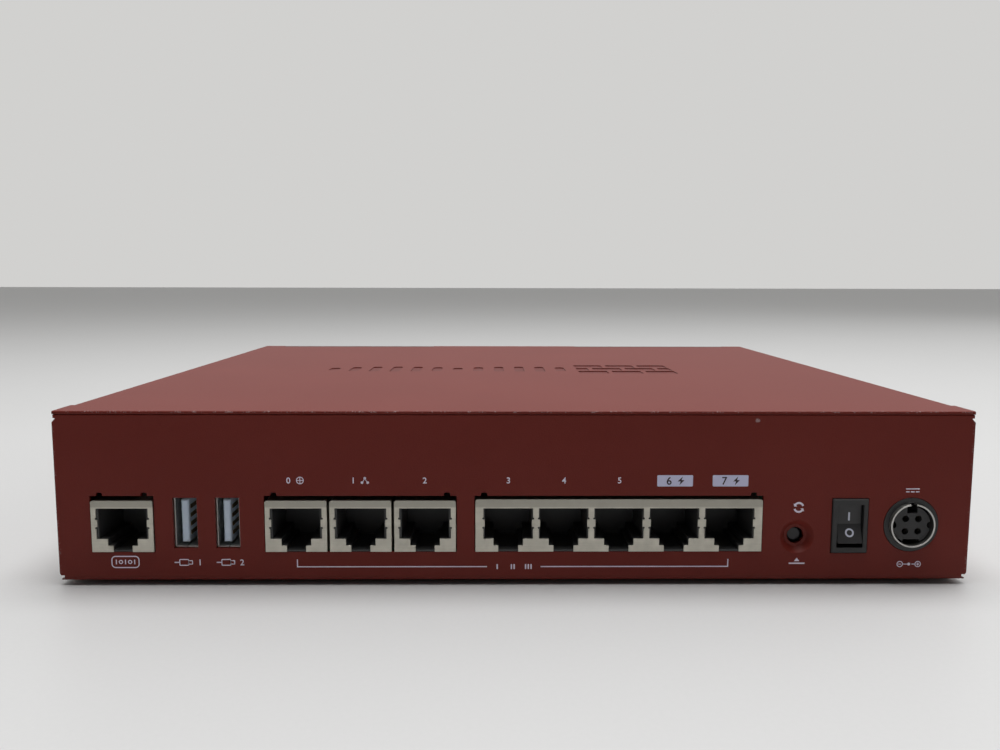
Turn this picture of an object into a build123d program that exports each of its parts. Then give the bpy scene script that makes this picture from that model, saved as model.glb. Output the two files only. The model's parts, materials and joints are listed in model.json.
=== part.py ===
from build123d import *
import os
from math import cos, radians, sin, tan

# Desktop firewall appliance: a folded steel tray and cover, a moulded front bezel, and one circuit board
# that carries every socket, the power switch and the reset switch.
# Millimetres. The sockets face -Y, +X is to the right when they are looked at, and the feet stand on z = 0.
# Heights called "level" are counted up from the underside of the case.

os.makedirs("parts", exist_ok=True)

# ---------------------------------------------------------------- driving dimensions
case_width = 230.0
case_depth = 205.0
case_height = 43.5
foot_height = 1.2

tray_sheet = 1.0
cover_sheet = 0.8
bend_radius = 1.3
tight_bend_radius = 0.5
top_bend_radius = 0.3
side_seam = 0.4
top_seam = 0.1
return_flange = 9.0
side_flange_height = 12.0
flange_end_gap = 6.0
corner_relief_radius = 0.9
corner_relief_rise = 1.5

# folded ends of the socket panel: short sides folded back, with a notch between folds at each corner
fold_length = 10.0
fold_proud = 0.3
fold_step = 0.5
fold_foot = 1.5
fold_chamfer = 0.6
notch_foot = 0.9
notch_depth = 0.9
cover_edge_radius = 0.35

bezel_depth = 9.0
bezel_wall = 2.0
bezel_gap = 0.15
tongue_length = 71.0
tongue_depth = 3.0
tongue_centre = 69.5

board_level = 7.65
board_thickness = 1.6
board_margin = 3.0
board_side_gap = 2.5

# 8P8C sockets
jack_proud = 0.3
jack_width = 15.5
jack_height = 13.15
jack_depth = 21.0
jack_sheet = 0.3
jack_corner = 0.5
console_inset = 16.25
lan_count = 3
lan_inset = 59.73
lan_gap = 0.71
gang_inset = 141.05
gang_end_width = 16.55
gang_height = 13.45
gang_pitch = 13.97
gang_count = 5
single_mouth = 13.0
gang_mouth = 12.5
mouth_top = 18.85
mouth_foot = 11.0
shoulder_width = 7.45
shoulder_foot = 9.25
latch_width = 4.8
gang_latch_width = 5.05
tab_height = 1.8
tab_depth = 0.3
tab_level = 15.0
tab_notch_radius = 0.3
cavity_width = 11.9
cavity_depth = 14.5
housing_gap = 0.05
contact_count = 8
contact_pitch = 1.02
contact_wire = 0.35
contact_setback = 3.0
contact_end = 12.5
contact_drop = 3.0
contact_bend = 1.0
roof_gap = 0.1
latch_floor = 0.4
jack_side_gap = 0.22
jack_foot_gap = 0.12
jack_opening_top = 22.0
relief_width = 1.6
relief_level = 22.85
relief_corner = 0.5
relief_inset = 2.4

# USB sockets, standing on edge
usb_inset = 31.9
usb_pitch = 10.6
usb_count = 2
usb_width = 5.9
usb_height = 13.1
usb_depth = 17.0
usb_sheet = 0.3
usb_setback = 0.1
usb_foot = 8.5
usb_gap = 0.1
tongue_thickness = 1.84
tongue_height = 10.9
tongue_shift = -0.62
tongue_setback = 0.9
usb_seam = 0.25
spring_margin = 3.2
spring_length = 5.0
spring_width = 1.8
usb_leg_depth = 2.0
usb_block_depth = 5.0
usb_contact_count = 4
usb_contact_pitch = 2.25
usb_contact_size = (6.6, 1.0, 0.15)
usb_contact_setback = 1.3

# reset switch
reset_inset = 43.65
reset_level = 11.4
dish_diameter = 8.65
dish_depth = 1.5
dish_floor_diameter = 5.8
reset_hole_diameter = 4.2
button_diameter = 3.5
button_recess = 2.7
button_travel = 0.5
button_fit = 0.1
collar_diameter = 5.0
collar_thickness = 1.0
reset_body_front = 6.0
reset_body_width = 7.0
reset_body_depth = 5.0
reset_wall = 1.0
reset_stop_gap = 0.05
dome_room = 0.6
dome_depth = 0.4

# rocker power switch
switch_inset = 30.4
switch_width = 9.05
switch_level = 14.2
switch_height = 13.95
switch_proud = 0.5
switch_fit = 0.15
switch_depth = 15.0
rocker_width = 6.3
rocker_length = 9.8
rocker_side_gap = 0.2
rocker_end_gap = 0.3
rocker_valley = 0.6
pivot_depth = 3.0
rocker_throw = 18.0
trunnion_diameter = 1.6
trunnion_length = 0.7
trunnion_fit = 0.05
window_play = 0.25
switch_well_depth = 4.2
switch_board_gap = 0.2
terminal_size = (0.8, 0.8, 6.0)
terminal_spread = 5.0
rocker_edge = 0.2

# round power socket
socket_inset = 14.8
socket_level = 14.5
socket_nose_diameter = 13.8
socket_hole_gap = 0.1
socket_body_depth = 14.0
ring_outer_diameter = 11.2
ring_wall = 0.4
ring_proud = 1.3
ring_slot = 1.5
ring_length = 10.5
ring_fit = 0.05
insert_diameter = 9.5
insert_setback = 0.9
pin_hole_diameter = 1.7
pin_half_spacing = 1.62
pin_hole_depth = 8.0
pin_wall = 0.25
pin_setback = 1.2
key_width = 2.6
key_depth = 1.7
foot_key_width = 4.2
foot_key_depth = 1.1
side_key_diameter = 1.8
key_length = 7.0
nose_proud = 0.1
nose_step = 0.2
ring_slot_length = 5.0

# ventilation, feet and fasteners
vent_slot_width = 2.6
vent_slot_height = 12.0
vent_pitch = 5.2
vent_columns = 20
vent_rows = 2
vent_row_pitch = 15.0
vent_top_margin = 4.0
floor_vent_length = 16.0
floor_vent_columns = 14
floor_vent_row_pitch = 60.0
foot_diameter = 12.0
foot_inset = 18.0
foot_rounding = 0.4
screw_inset = 38.0
screw_level = 6.0
screw_diameter = 3.0
screw_head_diameter = 5.6
screw_length = 4.0
board_screw_reach = 3.5
pan_head_height = 1.9
recess_length = 3.1
recess_width = 0.6
recess_depth = 0.9
screw_hole_gap = 0.15
standoff_width = 5.5
standoff_side_margin = 10.7
standoff_rear_margin = 41.0
standoff_front_margin = 8.0

# pressed mark on the cover: a plain brick pattern and a row of bars
mark_depth = 0.3
mark_offset = -3.0
brick_centre = 41.7
brick_length = 10.3
brick_height = 8.2
brick_gap = 1.6
brick_rows = 3
bar_centre = -22.0
bar_count = 12
bar_pitch = 7.4
bar_width = 3.4
bar_shortest = 8.0
bar_swing = 9.0

# status lights
light_pitch = 9.0
status_lights = 4
port_lights = 8
light_level = 10.4
light_width = 4.0
light_height = 1.5
light_gap = 0.1
light_group_gap = 14.0
light_corner = 0.4
light_bar_depth = 2.0
lamp_width = 3.2
lamp_depth = 3.4

# snap hooks of the bezel
hook_width = 12.0
hook_arm = 1.6
hook_lip = 1.2
hook_reach = 3.0
hook_drop = 12.7
hook_window_gap = 0.2
groove_rise = 7.0
groove_width = 1.0
groove_depth = 0.6
bezel_chamfer = 0.4
tongue_sink = 0.05

# parts that stand on the board: sizes, and places as x and y
processor_place = (-28.0, 22.0)
processor_size = 34.0
processor_height = 1.2
die_size = 24.0
chip_height = 2.4
pad_size = 22.0
pad_height = 0.8
sink_size = 62.0
sink_height = 22.0
sink_floor = 4.0
fin_count = 13
fin_pitch = 4.7
fin_thickness = 1.4
push_pin_inset = 5.0
push_pin_diameter = 3.0
push_pin_cap = (6.5, 1.5)
pin_spring_diameter = 6.0
pin_spring_bore = 4.8
pin_spring_height = 8.0
pin_hole_gap = 0.4
switch_chip_place = (27.0, -48.0)
switch_chip_size = 24.0
switch_chip_height = 1.6
chip_sink_size = 28.0
chip_sink_floor = 2.5
chip_sink_height = 8.0
chip_sink_pins = 7
chip_sink_pitch = 4.0
chip_sink_pin = 1.6
memory_offset = 45.0
memory_count = 4
memory_pitch = 13.0
memory_size = (9.0, 12.5)
memory_height = 1.1
card_place = (-84.0, 20.0)
card_width = 29.8
card_level = 2.5
card_thickness = 1.0
card_y = (-26.0, 25.0)
card_chip_size = (14.0, 12.0)
card_chip_height = 1.3
card_chip_rows = (-10.0, 8.0)
card_socket_width = 30.0
card_socket_y = (-30.0, -23.0)
card_socket_height = 5.0
card_socket_lip = 4.0
card_slot_level = 1.8
card_post_size = (4.0, 5.0)
card_post_offset = (12.5, 24.5)
cell_place = (-84.0, -48.0)
holder_diameter = 23.0
holder_bore = 20.4
holder_floor = 1.2
holder_height = 4.0
holder_slot = (10.0, 8.0)
cell_diameter = 20.0
cell_thickness = 3.2
cell_rounding = 0.6
transformer_size = (18.0, 10.0, 6.0)
transformer_setback = 29.0
transformer_places = (-39.05, -12.0, 26.2, 50.0)
inductor_size = 13.0
inductor_height = 6.5
inductor_rounding = 1.5
inductor_places = ((60.0, -30.0), (80.0, -30.0), (60.0, -8.0), (60.0, 40.0))
power_transformer_place = (81.0, -2.0)
power_transformer_foot = (22.0, 24.0, 3.0)
power_transformer_core = (18.0, 20.0, 16.0)
capacitor_diameter = 10.0
capacitor_height = 13.0
capacitor_rounding = 0.8
capacitor_places = ((84.0, 26.0), (98.0, 40.0), (84.0, 40.0), (72.0, 55.0), (86.0, 55.0))
control_chip_size = 9.0
control_chip_height = 1.0
control_chip_places = ((58.0, -60.0), (36.0, -5.0), (20.0, 60.0), (-60.0, -55.0), (40.0, 40.0), (-70.0, 72.0))
film_half_width = 95.0
film_y = (-85.0, 75.0)
film_thickness = 0.25

# ---------------------------------------------------------------- places worked out from them
port_face_y = -(case_depth + ring_proud) / 2 + ring_proud
front_face_y = port_face_y + case_depth
panel_back_y = port_face_y + tray_sheet
front_panel_y = front_face_y - bezel_depth
cover_inner = case_width / 2 - cover_sheet
tray_half = cover_inner - side_seam
cover_underside = case_height - cover_sheet
tray_top = cover_underside - top_seam
panel_half = case_width / 2 + fold_proud
strip_half = panel_half - fold_step
fold_back_y = port_face_y + fold_length
cover_side_y = fold_back_y + side_seam
board_underside = board_level - board_thickness
board_rear_y = port_face_y + board_margin
board_front_y = front_panel_y - tray_sheet - board_margin
left_edge = -case_width / 2
right_edge = case_width / 2
console_centre = left_edge + console_inset
lan_centres = [left_edge + lan_inset + i * (jack_width + lan_gap) for i in range(lan_count)]
gang_centre = left_edge + gang_inset
gang_width = gang_pitch * (gang_count - 1) + gang_end_width
usb_centres = [left_edge + usb_inset + i * usb_pitch for i in range(usb_count)]
reset_centre = right_edge - reset_inset
switch_centre = right_edge - switch_inset
socket_centre = right_edge - socket_inset
jack_front_y = port_face_y - jack_proud
gang_mouths = [gang_centre + gang_pitch * (i - (gang_count - 1) / 2) for i in range(gang_count)]
pivot_y = port_face_y + pivot_depth
rocker_tilt = rocker_throw / 2
socket_mouth_y = port_face_y - ring_proud
light_row = status_lights + port_lights
light_span = (light_row - 1) * light_pitch + light_group_gap
light_places = [
    light_span / 2 - i * light_pitch - (light_group_gap if i >= status_lights else 0) for i in range(light_row)
]
foot_places = [
    (x * (case_width / 2 - foot_inset), (port_face_y + front_face_y) / 2 + y * (case_depth / 2 - foot_inset))
    for x in (-1, 1)
    for y in (-1, 1)
]
screw_rows = (port_face_y + screw_inset, front_face_y - screw_inset)
board_half = cover_inner - tray_sheet - board_side_gap
standoff_rows = (
    board_rear_y + standoff_rear_margin,
    (board_rear_y + standoff_rear_margin + board_front_y - standoff_front_margin) / 2,
    board_front_y - standoff_front_margin,
)
standoff_places = [(x * (board_half - standoff_side_margin), y) for x in (-1, 1) for y in standoff_rows]
vent_level = case_height - vent_top_margin - vent_slot_height / 2 - vent_row_pitch * (vent_rows - 1) / 2
hook_level = cover_underside - hook_drop


# ---------------------------------------------------------------- planes and small helpers
def cross_plane(y):
    # upright plane across the case at y, seen from the socket side: local x is +X, local y is the level
    return Plane(origin=(0, y, foot_height), x_dir=(1, 0, 0), z_dir=(0, -1, 0))


def side_plane(x):
    # upright plane along the case at x: local x is +Y, local y is the level
    return Plane(origin=(x, 0, foot_height), x_dir=(0, 1, 0), z_dir=(1, 0, 0))


def level_plane(level):
    return Plane.XY.offset(foot_height + level)


def block(x, y, level, mode=Mode.ADD):
    # rectangular block in the open part, between the given pairs of x, y and level
    with BuildSketch(level_plane(level[0])) as footprint:
        with Locations(((x[0] + x[1]) / 2, (y[0] + y[1]) / 2)):
            Rectangle(x[1] - x[0], y[1] - y[0])
    extrude(footprint.sketch, amount=level[1] - level[0], mode=mode)


def pad(place, size, level, mode=Mode.ADD):
    # rectangular block centred on a place, with its size along x and y, between the pair level
    x, y = place
    block((x - size[0] / 2, x + size[0] / 2), (y - size[1] / 2, y + size[1] / 2), level, mode)


def rod(x, level, y, diameter, mode=Mode.ADD):
    # round bar along Y in the open part, between the pair y
    with BuildSketch(cross_plane(y[0])) as circle:
        with Locations((x, level)):
            Circle(diameter / 2)
    extrude(circle.sketch, amount=-(y[1] - y[0]), mode=mode)


def post(x, y, level, diameter, mode=Mode.ADD):
    # upright round bar in the open part, between the pair level
    with BuildSketch(level_plane(level[0])) as circle:
        with Locations((x, y)):
            Circle(diameter / 2)
    extrude(circle.sketch, amount=level[1] - level[0], mode=mode)


def box_cut(x, level):
    # rectangle between pairs of x and level, in the open sketch on a cross plane
    with Locations(((x[0] + x[1]) / 2, (level[0] + level[1]) / 2)):
        Rectangle(x[1] - x[0], level[1] - level[0])


def save(part, name):
    part.label = name
    export_step(part, f"parts/{name}.step")


# ---------------------------------------------------------------- base tray
# one steel sheet: floor, socket panel with folded ends, front panel, a return flange on top of each panel,
# low side flanges
with BuildPart() as base_tray:
    with BuildSketch(side_plane(-strip_half)):
        with Locations(((port_face_y + front_panel_y) / 2, tray_top / 2)):
            outer = Rectangle(front_panel_y - port_face_y, tray_top)
        fillet([v for v in outer.vertices() if v.X < 0 and v.Y > 0], top_bend_radius)
        fillet([v for v in vertices() if v.X > 0 or v.Y < tray_top / 2], bend_radius)
    extrude(amount=2 * strip_half)
    with BuildSketch(side_plane(-strip_half)):
        with Locations(((port_face_y + front_panel_y) / 2, tray_top / 2)):
            inner = Rectangle(front_panel_y - port_face_y - 2 * tray_sheet, tray_top - 2 * tray_sheet)
        fillet(inner.vertices(), bend_radius - tray_sheet)
    extrude(amount=2 * strip_half, mode=Mode.SUBTRACT)
    block(
        (-strip_half, strip_half),
        (port_face_y + return_flange, front_panel_y - return_flange),
        (tray_top - tray_sheet, tray_top),
        Mode.SUBTRACT,
    )
    fold_start = panel_half - notch_depth
    for side in (-1, 1):
        # the tray is narrower behind the panel's folded ends, where the cover's sides come down past it
        block(
            sorted((side * tray_half, side * panel_half)),
            (fold_back_y, front_face_y),
            (0, case_height),
            Mode.SUBTRACT,
        )
        # clear the panel's edge, then give it a short side folded back, with a chamfer at both ends
        block(
            sorted((side * fold_start, side * panel_half)),
            (port_face_y, fold_back_y),
            (notch_foot, tray_top - notch_foot),
            Mode.SUBTRACT,
        )
        with BuildSketch(level_plane(fold_foot)) as fold:
            with BuildLine():
                Polyline(
                    (side * (fold_start - fold_step), port_face_y),
                    (side * panel_half, port_face_y),
                    (side * panel_half, fold_back_y),
                    (side * (panel_half - tray_sheet), fold_back_y),
                    (side * (panel_half - tray_sheet), panel_back_y),
                    (side * (fold_start - fold_step), panel_back_y),
                    close=True,
                )
            make_face()
            outside = fold.vertices().group_by(Axis.Y)[0].sort_by(lambda v: abs(v.X))[-1:]
            fillet(outside, tight_bend_radius)
        extrude(fold.sketch, amount=tray_top - 2 * fold_foot)
        for end, up in ((fold_foot, 1), (tray_top - fold_foot, -1)):
            with BuildSketch(cross_plane(port_face_y)) as corner:
                with BuildLine():
                    Polyline(
                        (side * (panel_half - fold_chamfer - fold_step), end - up * fold_step),
                        (side * (panel_half + fold_step), end - up * fold_step),
                        (side * (panel_half + fold_step), end + up * (fold_chamfer + fold_step)),
                        close=True,
                    )
                make_face()
            extrude(corner.sketch, amount=-bend_radius, mode=Mode.SUBTRACT)
    # side flanges, folded up from the floor
    flange_y = (fold_back_y + fold_chamfer, front_panel_y - flange_end_gap)
    for side in (-1, 1):
        flange_x = sorted((side * cover_inner, side * (cover_inner - tray_sheet)))
        block(flange_x, flange_y, (0, side_flange_height))
        block(sorted((side * tray_half, side * (cover_inner - tray_sheet))), flange_y, (0, tray_sheet))
    # round bend reliefs at the corners of the front panel
    relief_y = (front_panel_y - 2 * tray_sheet, front_panel_y + tray_sheet)
    for x in (-tray_half, tray_half):
        for level in (corner_relief_rise, tray_top - corner_relief_rise):
            rod(x, level, relief_y, 2 * corner_relief_radius, Mode.SUBTRACT)
    # socket cut-outs in the socket panel
    console_half = jack_width / 2 + jack_side_gap
    lan_half = jack_width / 2 + jack_side_gap
    gang_half = gang_width / 2 + jack_side_gap
    jack_foot = board_level - jack_foot_gap
    with BuildSketch(cross_plane(port_face_y)):
        for first, last, half in (
            (console_centre, console_centre, console_half),
            (lan_centres[0], lan_centres[-1], lan_half),
            (gang_centre, gang_centre, gang_half),
        ):
            box_cut((first - half, last + half), (jack_foot, jack_opening_top))
            for x in (first - half + relief_inset, last + half - relief_inset):
                with Locations((x, jack_opening_top)):
                    RectangleRounded(relief_width, 2 * (relief_level - jack_opening_top), relief_corner)
        for x in usb_centres:
            box_cut(
                (x - usb_width / 2 - usb_gap, x + usb_width / 2 + usb_gap),
                (usb_foot - usb_gap, usb_foot + usb_height - usb_gap),
            )
        with Locations((reset_centre, reset_level)):
            Circle(dish_diameter / 2)
        switch_half_width = switch_width / 2 + switch_fit
        switch_half_height = switch_height / 2 + switch_fit
        box_cut(
            (switch_centre - switch_half_width, switch_centre + switch_half_width),
            (switch_level - switch_half_height, switch_level + switch_half_height),
        )
        with Locations((socket_centre, socket_level)):
            Circle(socket_nose_diameter / 2 + socket_hole_gap)
    extrude(amount=-tray_sheet, mode=Mode.SUBTRACT)
    # pressed dish around the reset button
    with BuildSketch(level_plane(reset_level)):
        with BuildLine():
            Polyline(
                (reset_centre + dish_diameter / 2, port_face_y),
                (reset_centre + dish_floor_diameter / 2, port_face_y + dish_depth),
                (reset_centre + reset_hole_diameter / 2, port_face_y + dish_depth),
                (reset_centre + reset_hole_diameter / 2, port_face_y + dish_depth + tray_sheet),
                (reset_centre + dish_floor_diameter / 2 + tray_sheet / 2, port_face_y + dish_depth + tray_sheet),
                (reset_centre + dish_diameter / 2, port_face_y + tray_sheet),
                close=True,
            )
        make_face()
    revolve(axis=Axis((reset_centre, 0, foot_height + reset_level), (0, 1, 0)))
    # slot for the light guide, and windows for the bezel's hooks, in the front panel
    with BuildSketch(cross_plane(front_panel_y - tray_sheet)):
        for group in (light_places[:status_lights], light_places[status_lights:]):
            box_cut(
                (group[-1] - light_width, group[0] + light_width),
                (light_level - light_height, light_level + light_height),
            )
        for x in (-tongue_centre, tongue_centre):
            box_cut(
                (x - hook_width / 2 - hook_window_gap, x + hook_width / 2 + hook_window_gap),
                (hook_level - hook_window_gap, hook_level + hook_arm + hook_lip + hook_window_gap),
            )
    extrude(amount=-tray_sheet, mode=Mode.SUBTRACT)
    # floor: ventilation slots, rivet holes for the feet
    with BuildSketch(level_plane(0)):
        with GridLocations(2 * vent_pitch, floor_vent_row_pitch, floor_vent_columns, 2):
            SlotOverall(floor_vent_length, vent_slot_width, rotation=90)
    extrude(amount=tray_sheet, mode=Mode.SUBTRACT)
    # screw holes in the side flanges
    with BuildSketch(side_plane(-case_width / 2)):
        with Locations(*[(y, screw_level) for y in screw_rows]):
            Circle(screw_diameter / 2)
    extrude(amount=case_width, mode=Mode.SUBTRACT)
save(base_tray.part, "base_tray")

# ---------------------------------------------------------------- top cover
# one steel sheet over the top and down both sides
with BuildPart() as top_cover:
    with BuildSketch(cross_plane(port_face_y)):
        with Locations((0, case_height / 2)):
            Rectangle(case_width, case_height)
        fillet([v for v in vertices() if v.Y > case_height / 2], bend_radius)
    extrude(amount=-case_depth)
    with BuildSketch(cross_plane(port_face_y)):
        with Locations((0, cover_underside / 2)):
            Rectangle(2 * cover_inner, cover_underside)
        fillet([v for v in vertices() if v.Y > cover_underside / 2], bend_radius - cover_sheet)
    extrude(amount=-case_depth, mode=Mode.SUBTRACT)
    # the sides stop behind the socket panel's folded ends, and the top stays flat out to its two corners there
    for side in (-1, 1):
        corner_x = sorted((side * (case_width / 2 - bend_radius - side_seam), side * case_width / 2))
        block(corner_x, (port_face_y, cover_side_y), (0, case_height), Mode.SUBTRACT)
        block(corner_x, (port_face_y, fold_back_y), (cover_underside, case_height))
    fillet(top_cover.edges().filter_by(Axis.X).group_by(Axis.Y)[0].sort_by(Axis.Z)[-1:], cover_edge_radius)
    # notches in the front edge for the bezel's tongues
    for x in (-tongue_centre, tongue_centre):
        half = tongue_length / 2 + bezel_gap
        block(
            (x - half, x + half),
            (front_face_y - tongue_depth - bezel_gap, front_face_y),
            (cover_underside, case_height),
            Mode.SUBTRACT,
        )
    # pressed mark, readable from the front: bricks in staggered rows, then bars of rising and falling length
    mark_y = (port_face_y + front_face_y) / 2 + mark_offset
    brick_step = brick_length + brick_gap
    wall_half = (3 * brick_step - brick_gap) / 2
    with BuildSketch(level_plane(case_height)):
        for row in range(brick_rows):
            y = mark_y + (row - (brick_rows - 1) / 2) * (brick_height + brick_gap)
            shift = brick_step / 2 if row % 2 else 0
            for i in range(4 if row % 2 else 3):
                x0 = max(-wall_half, (i - 1.5) * brick_step + brick_gap / 2 - shift)
                x1 = min(wall_half, (i - 0.5) * brick_step - brick_gap / 2 - shift)
                with Locations((brick_centre + (x0 + x1) / 2, y)):
                    RectangleRounded(x1 - x0, brick_height, brick_gap / 2)
        for i in range(bar_count):
            length = bar_shortest + bar_swing * abs(sin(radians(150.0 * i)))
            with Locations((bar_centre + (i - (bar_count - 1) / 2) * bar_pitch, mark_y)):
                RectangleRounded(bar_width, length, bar_width / 2 - 0.1)
    extrude(amount=-mark_depth, mode=Mode.SUBTRACT)
    # ventilation slots through both sides
    with BuildSketch(side_plane(-case_width / 2)):
        with Locations((0, vent_level)):
            with GridLocations(vent_pitch, vent_row_pitch, vent_columns, vent_rows):
                SlotOverall(vent_slot_height, vent_slot_width, rotation=90)
        with Locations(*[(y, screw_level) for y in screw_rows]):
            Circle(screw_diameter / 2 + screw_hole_gap)
    extrude(amount=case_width, mode=Mode.SUBTRACT)
    # countersinks for the flat screw heads
    for side in (-1, 1):
        for y in screw_rows:
            with BuildSketch(Plane((side * case_width / 2, y, foot_height + screw_level), z_dir=(side, 0, 0))):
                Circle(screw_head_diameter / 2 + screw_hole_gap)
            extrude(amount=-cover_sheet, taper=45, mode=Mode.SUBTRACT)
save(top_cover.part, "top_cover")

# ---------------------------------------------------------------- front bezel
bezel_half = cover_inner - bezel_gap
bezel_top = cover_underside - bezel_gap
with BuildPart() as front_bezel:
    block((-bezel_half, bezel_half), (front_panel_y, front_face_y), (0, bezel_top))
    fillet(front_bezel.edges().filter_by(Axis.Y), bend_radius - cover_sheet)
    chamfer(front_bezel.faces().sort_by(Axis.Y)[-1].edges(), bezel_chamfer)
    block(
        (-bezel_half + bezel_wall, bezel_half - bezel_wall),
        (front_panel_y, front_face_y - bezel_wall),
        (bezel_wall, bezel_top - bezel_wall),
        Mode.SUBTRACT,
    )
    for x in (-tongue_centre, tongue_centre):
        block(
            (x - tongue_length / 2, x + tongue_length / 2),
            (front_face_y - tongue_depth, front_face_y - bezel_chamfer),
            (bezel_top - bezel_chamfer, case_height - tongue_sink),
        )
        # snap hook reaching through the front panel
        hook_x = (x - hook_width / 2, x + hook_width / 2)
        hook_end = front_panel_y - hook_reach
        block(hook_x, (hook_end, front_face_y - bezel_wall), (hook_level, hook_level + hook_arm))
        block(
            hook_x,
            (hook_end, front_panel_y - tray_sheet - light_gap),
            (hook_level + hook_arm, hook_level + hook_arm + hook_lip),
        )
    with BuildSketch(cross_plane(front_face_y - bezel_wall)):
        with Locations(*[(x, light_level) for x in light_places]):
            RectangleRounded(light_width, light_height, light_corner)
    extrude(amount=-bezel_wall, mode=Mode.SUBTRACT)
    # shallow styling groove across the front face
    block(
        (-bezel_half, bezel_half),
        (front_face_y - groove_depth, front_face_y),
        (light_level + groove_rise, light_level + groove_rise + groove_width),
        Mode.SUBTRACT,
    )
save(front_bezel.part, "front_bezel")

# ---------------------------------------------------------------- light guide and status lights
with BuildPart() as light_guide:
    for group in (light_places[:status_lights], light_places[status_lights:]):
        block(
            (group[-1] - light_width / 2, group[0] + light_width / 2),
            (front_face_y - bezel_wall - light_bar_depth, front_face_y - bezel_wall),
            (light_level - light_height / 2, light_level + light_height / 2),
        )
    with BuildSketch(cross_plane(board_front_y + light_height)):
        with Locations(*[(x, light_level) for x in light_places]):
            RectangleRounded(light_width - 2 * light_gap, light_height - 2 * light_gap, light_corner - light_gap)
    extrude(amount=-(front_face_y - light_gap - board_front_y - light_height))
save(light_guide.part, "light_guide")

with BuildPart() as status_lights_row:
    for x in light_places:
        block(
            (x - lamp_width / 2, x + lamp_width / 2),
            (board_front_y - lamp_depth, board_front_y),
            (board_level, light_level + light_height / 2),
        )
save(status_lights_row.part, "status_lights")

# ---------------------------------------------------------------- feet, standoffs and screws
with BuildPart() as rubber_feet:
    with BuildSketch(Plane.XY):
        with Locations(*foot_places):
            Circle(foot_diameter / 2)
    extrude(amount=foot_height)
    fillet(rubber_feet.edges().group_by(Axis.Z)[0], foot_rounding)
save(rubber_feet.part, "rubber_feet")

with BuildPart() as standoffs:
    with BuildSketch(level_plane(tray_sheet)):
        with Locations(*standoff_places):
            RegularPolygon(standoff_width / 2, 6, major_radius=False)
        with Locations(*standoff_places):
            Circle(screw_diameter / 2, mode=Mode.SUBTRACT)
    extrude(amount=board_underside - tray_sheet)
save(standoffs.part, "standoffs")

with BuildPart() as board_screws:
    for x, y in standoff_places:
        post(x, y, (board_underside - board_screw_reach, board_level), screw_diameter - 0.1)
        post(x, y, (board_level, board_level + pan_head_height), screw_head_diameter)
    with BuildSketch(level_plane(board_level + pan_head_height)):
        with Locations(*standoff_places):
            Rectangle(recess_length, recess_width)
            Rectangle(recess_width, recess_length)
    extrude(amount=-recess_depth, mode=Mode.SUBTRACT)
save(board_screws.part, "board_screws")

with BuildPart() as cover_screws:
    for side in (-1, 1):
        for y in screw_rows:
            face = Plane((side * case_width / 2, y, foot_height + screw_level), z_dir=(side, 0, 0))
            with BuildSketch(face):
                Circle(screw_head_diameter / 2)
            extrude(amount=-cover_sheet, taper=45)
            with BuildSketch(face):
                Circle((screw_diameter - screw_hole_gap) / 2)
            extrude(amount=-screw_length)
            with BuildSketch(face):
                Rectangle(recess_length, recess_width)
                Rectangle(recess_width, recess_length)
            extrude(amount=-recess_depth, mode=Mode.SUBTRACT)
save(cover_screws.part, "cover_screws")

# ---------------------------------------------------------------- main board
with BuildPart() as main_board:
    block((-board_half, board_half), (board_rear_y, board_front_y), (board_underside, board_level))
    with BuildSketch(level_plane(board_underside)):
        with Locations(*standoff_places):
            Circle(screw_diameter / 2 + 0.1)
    extrude(amount=board_thickness, mode=Mode.SUBTRACT)
    fillet(main_board.edges().filter_by(Axis.Z).group_by(Axis.X)[0], 2.0)
    fillet(main_board.edges().filter_by(Axis.Z).group_by(Axis.X)[-1], 2.0)
save(main_board.part, "main_board")


# ---------------------------------------------------------------- 8P8C sockets
def mouth_outline(x, mouth_width, latch):
    # stepped opening of a socket's front plate, with a grounding tab between two notches on each side
    box_cut((x - mouth_width / 2, x + mouth_width / 2), (mouth_foot, mouth_top))
    box_cut((x - shoulder_width / 2, x + shoulder_width / 2), (shoulder_foot, mouth_foot))
    box_cut((x - latch / 2, x + latch / 2), (board_level, shoulder_foot))
    for side in (-1, 1):
        edge = x + side * mouth_width / 2
        with Locations((edge - side * tab_depth / 2, tab_level)):
            Rectangle(tab_depth, tab_height, mode=Mode.SUBTRACT)
        for end in (-1, 1):
            with Locations((edge, tab_level + end * (tab_height / 2 + tab_notch_radius))):
                Circle(tab_notch_radius)


def jack_shield(name, centre, width, height, mouths, mouth_width, latch):
    # folded sheet box, open below, with a stepped mouth for each socket
    with BuildPart() as shield:
        block(
            (centre - width / 2, centre + width / 2),
            (jack_front_y, jack_front_y + jack_depth),
            (board_level, board_level + height),
        )
        fillet(shield.edges().filter_by(Axis.Y).group_by(Axis.Z)[-1], jack_corner)
        block(
            (centre - width / 2 + jack_sheet, centre + width / 2 - jack_sheet),
            (jack_front_y + jack_sheet, jack_front_y + jack_depth - jack_sheet),
            (board_level, board_level + height - jack_sheet),
            Mode.SUBTRACT,
        )
        with BuildSketch(cross_plane(jack_front_y)) as cut:
            for x in mouths:
                mouth_outline(x, mouth_width, latch)
        extrude(cut.sketch, amount=-jack_sheet, mode=Mode.SUBTRACT)
    save(shield.part, name)


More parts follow.
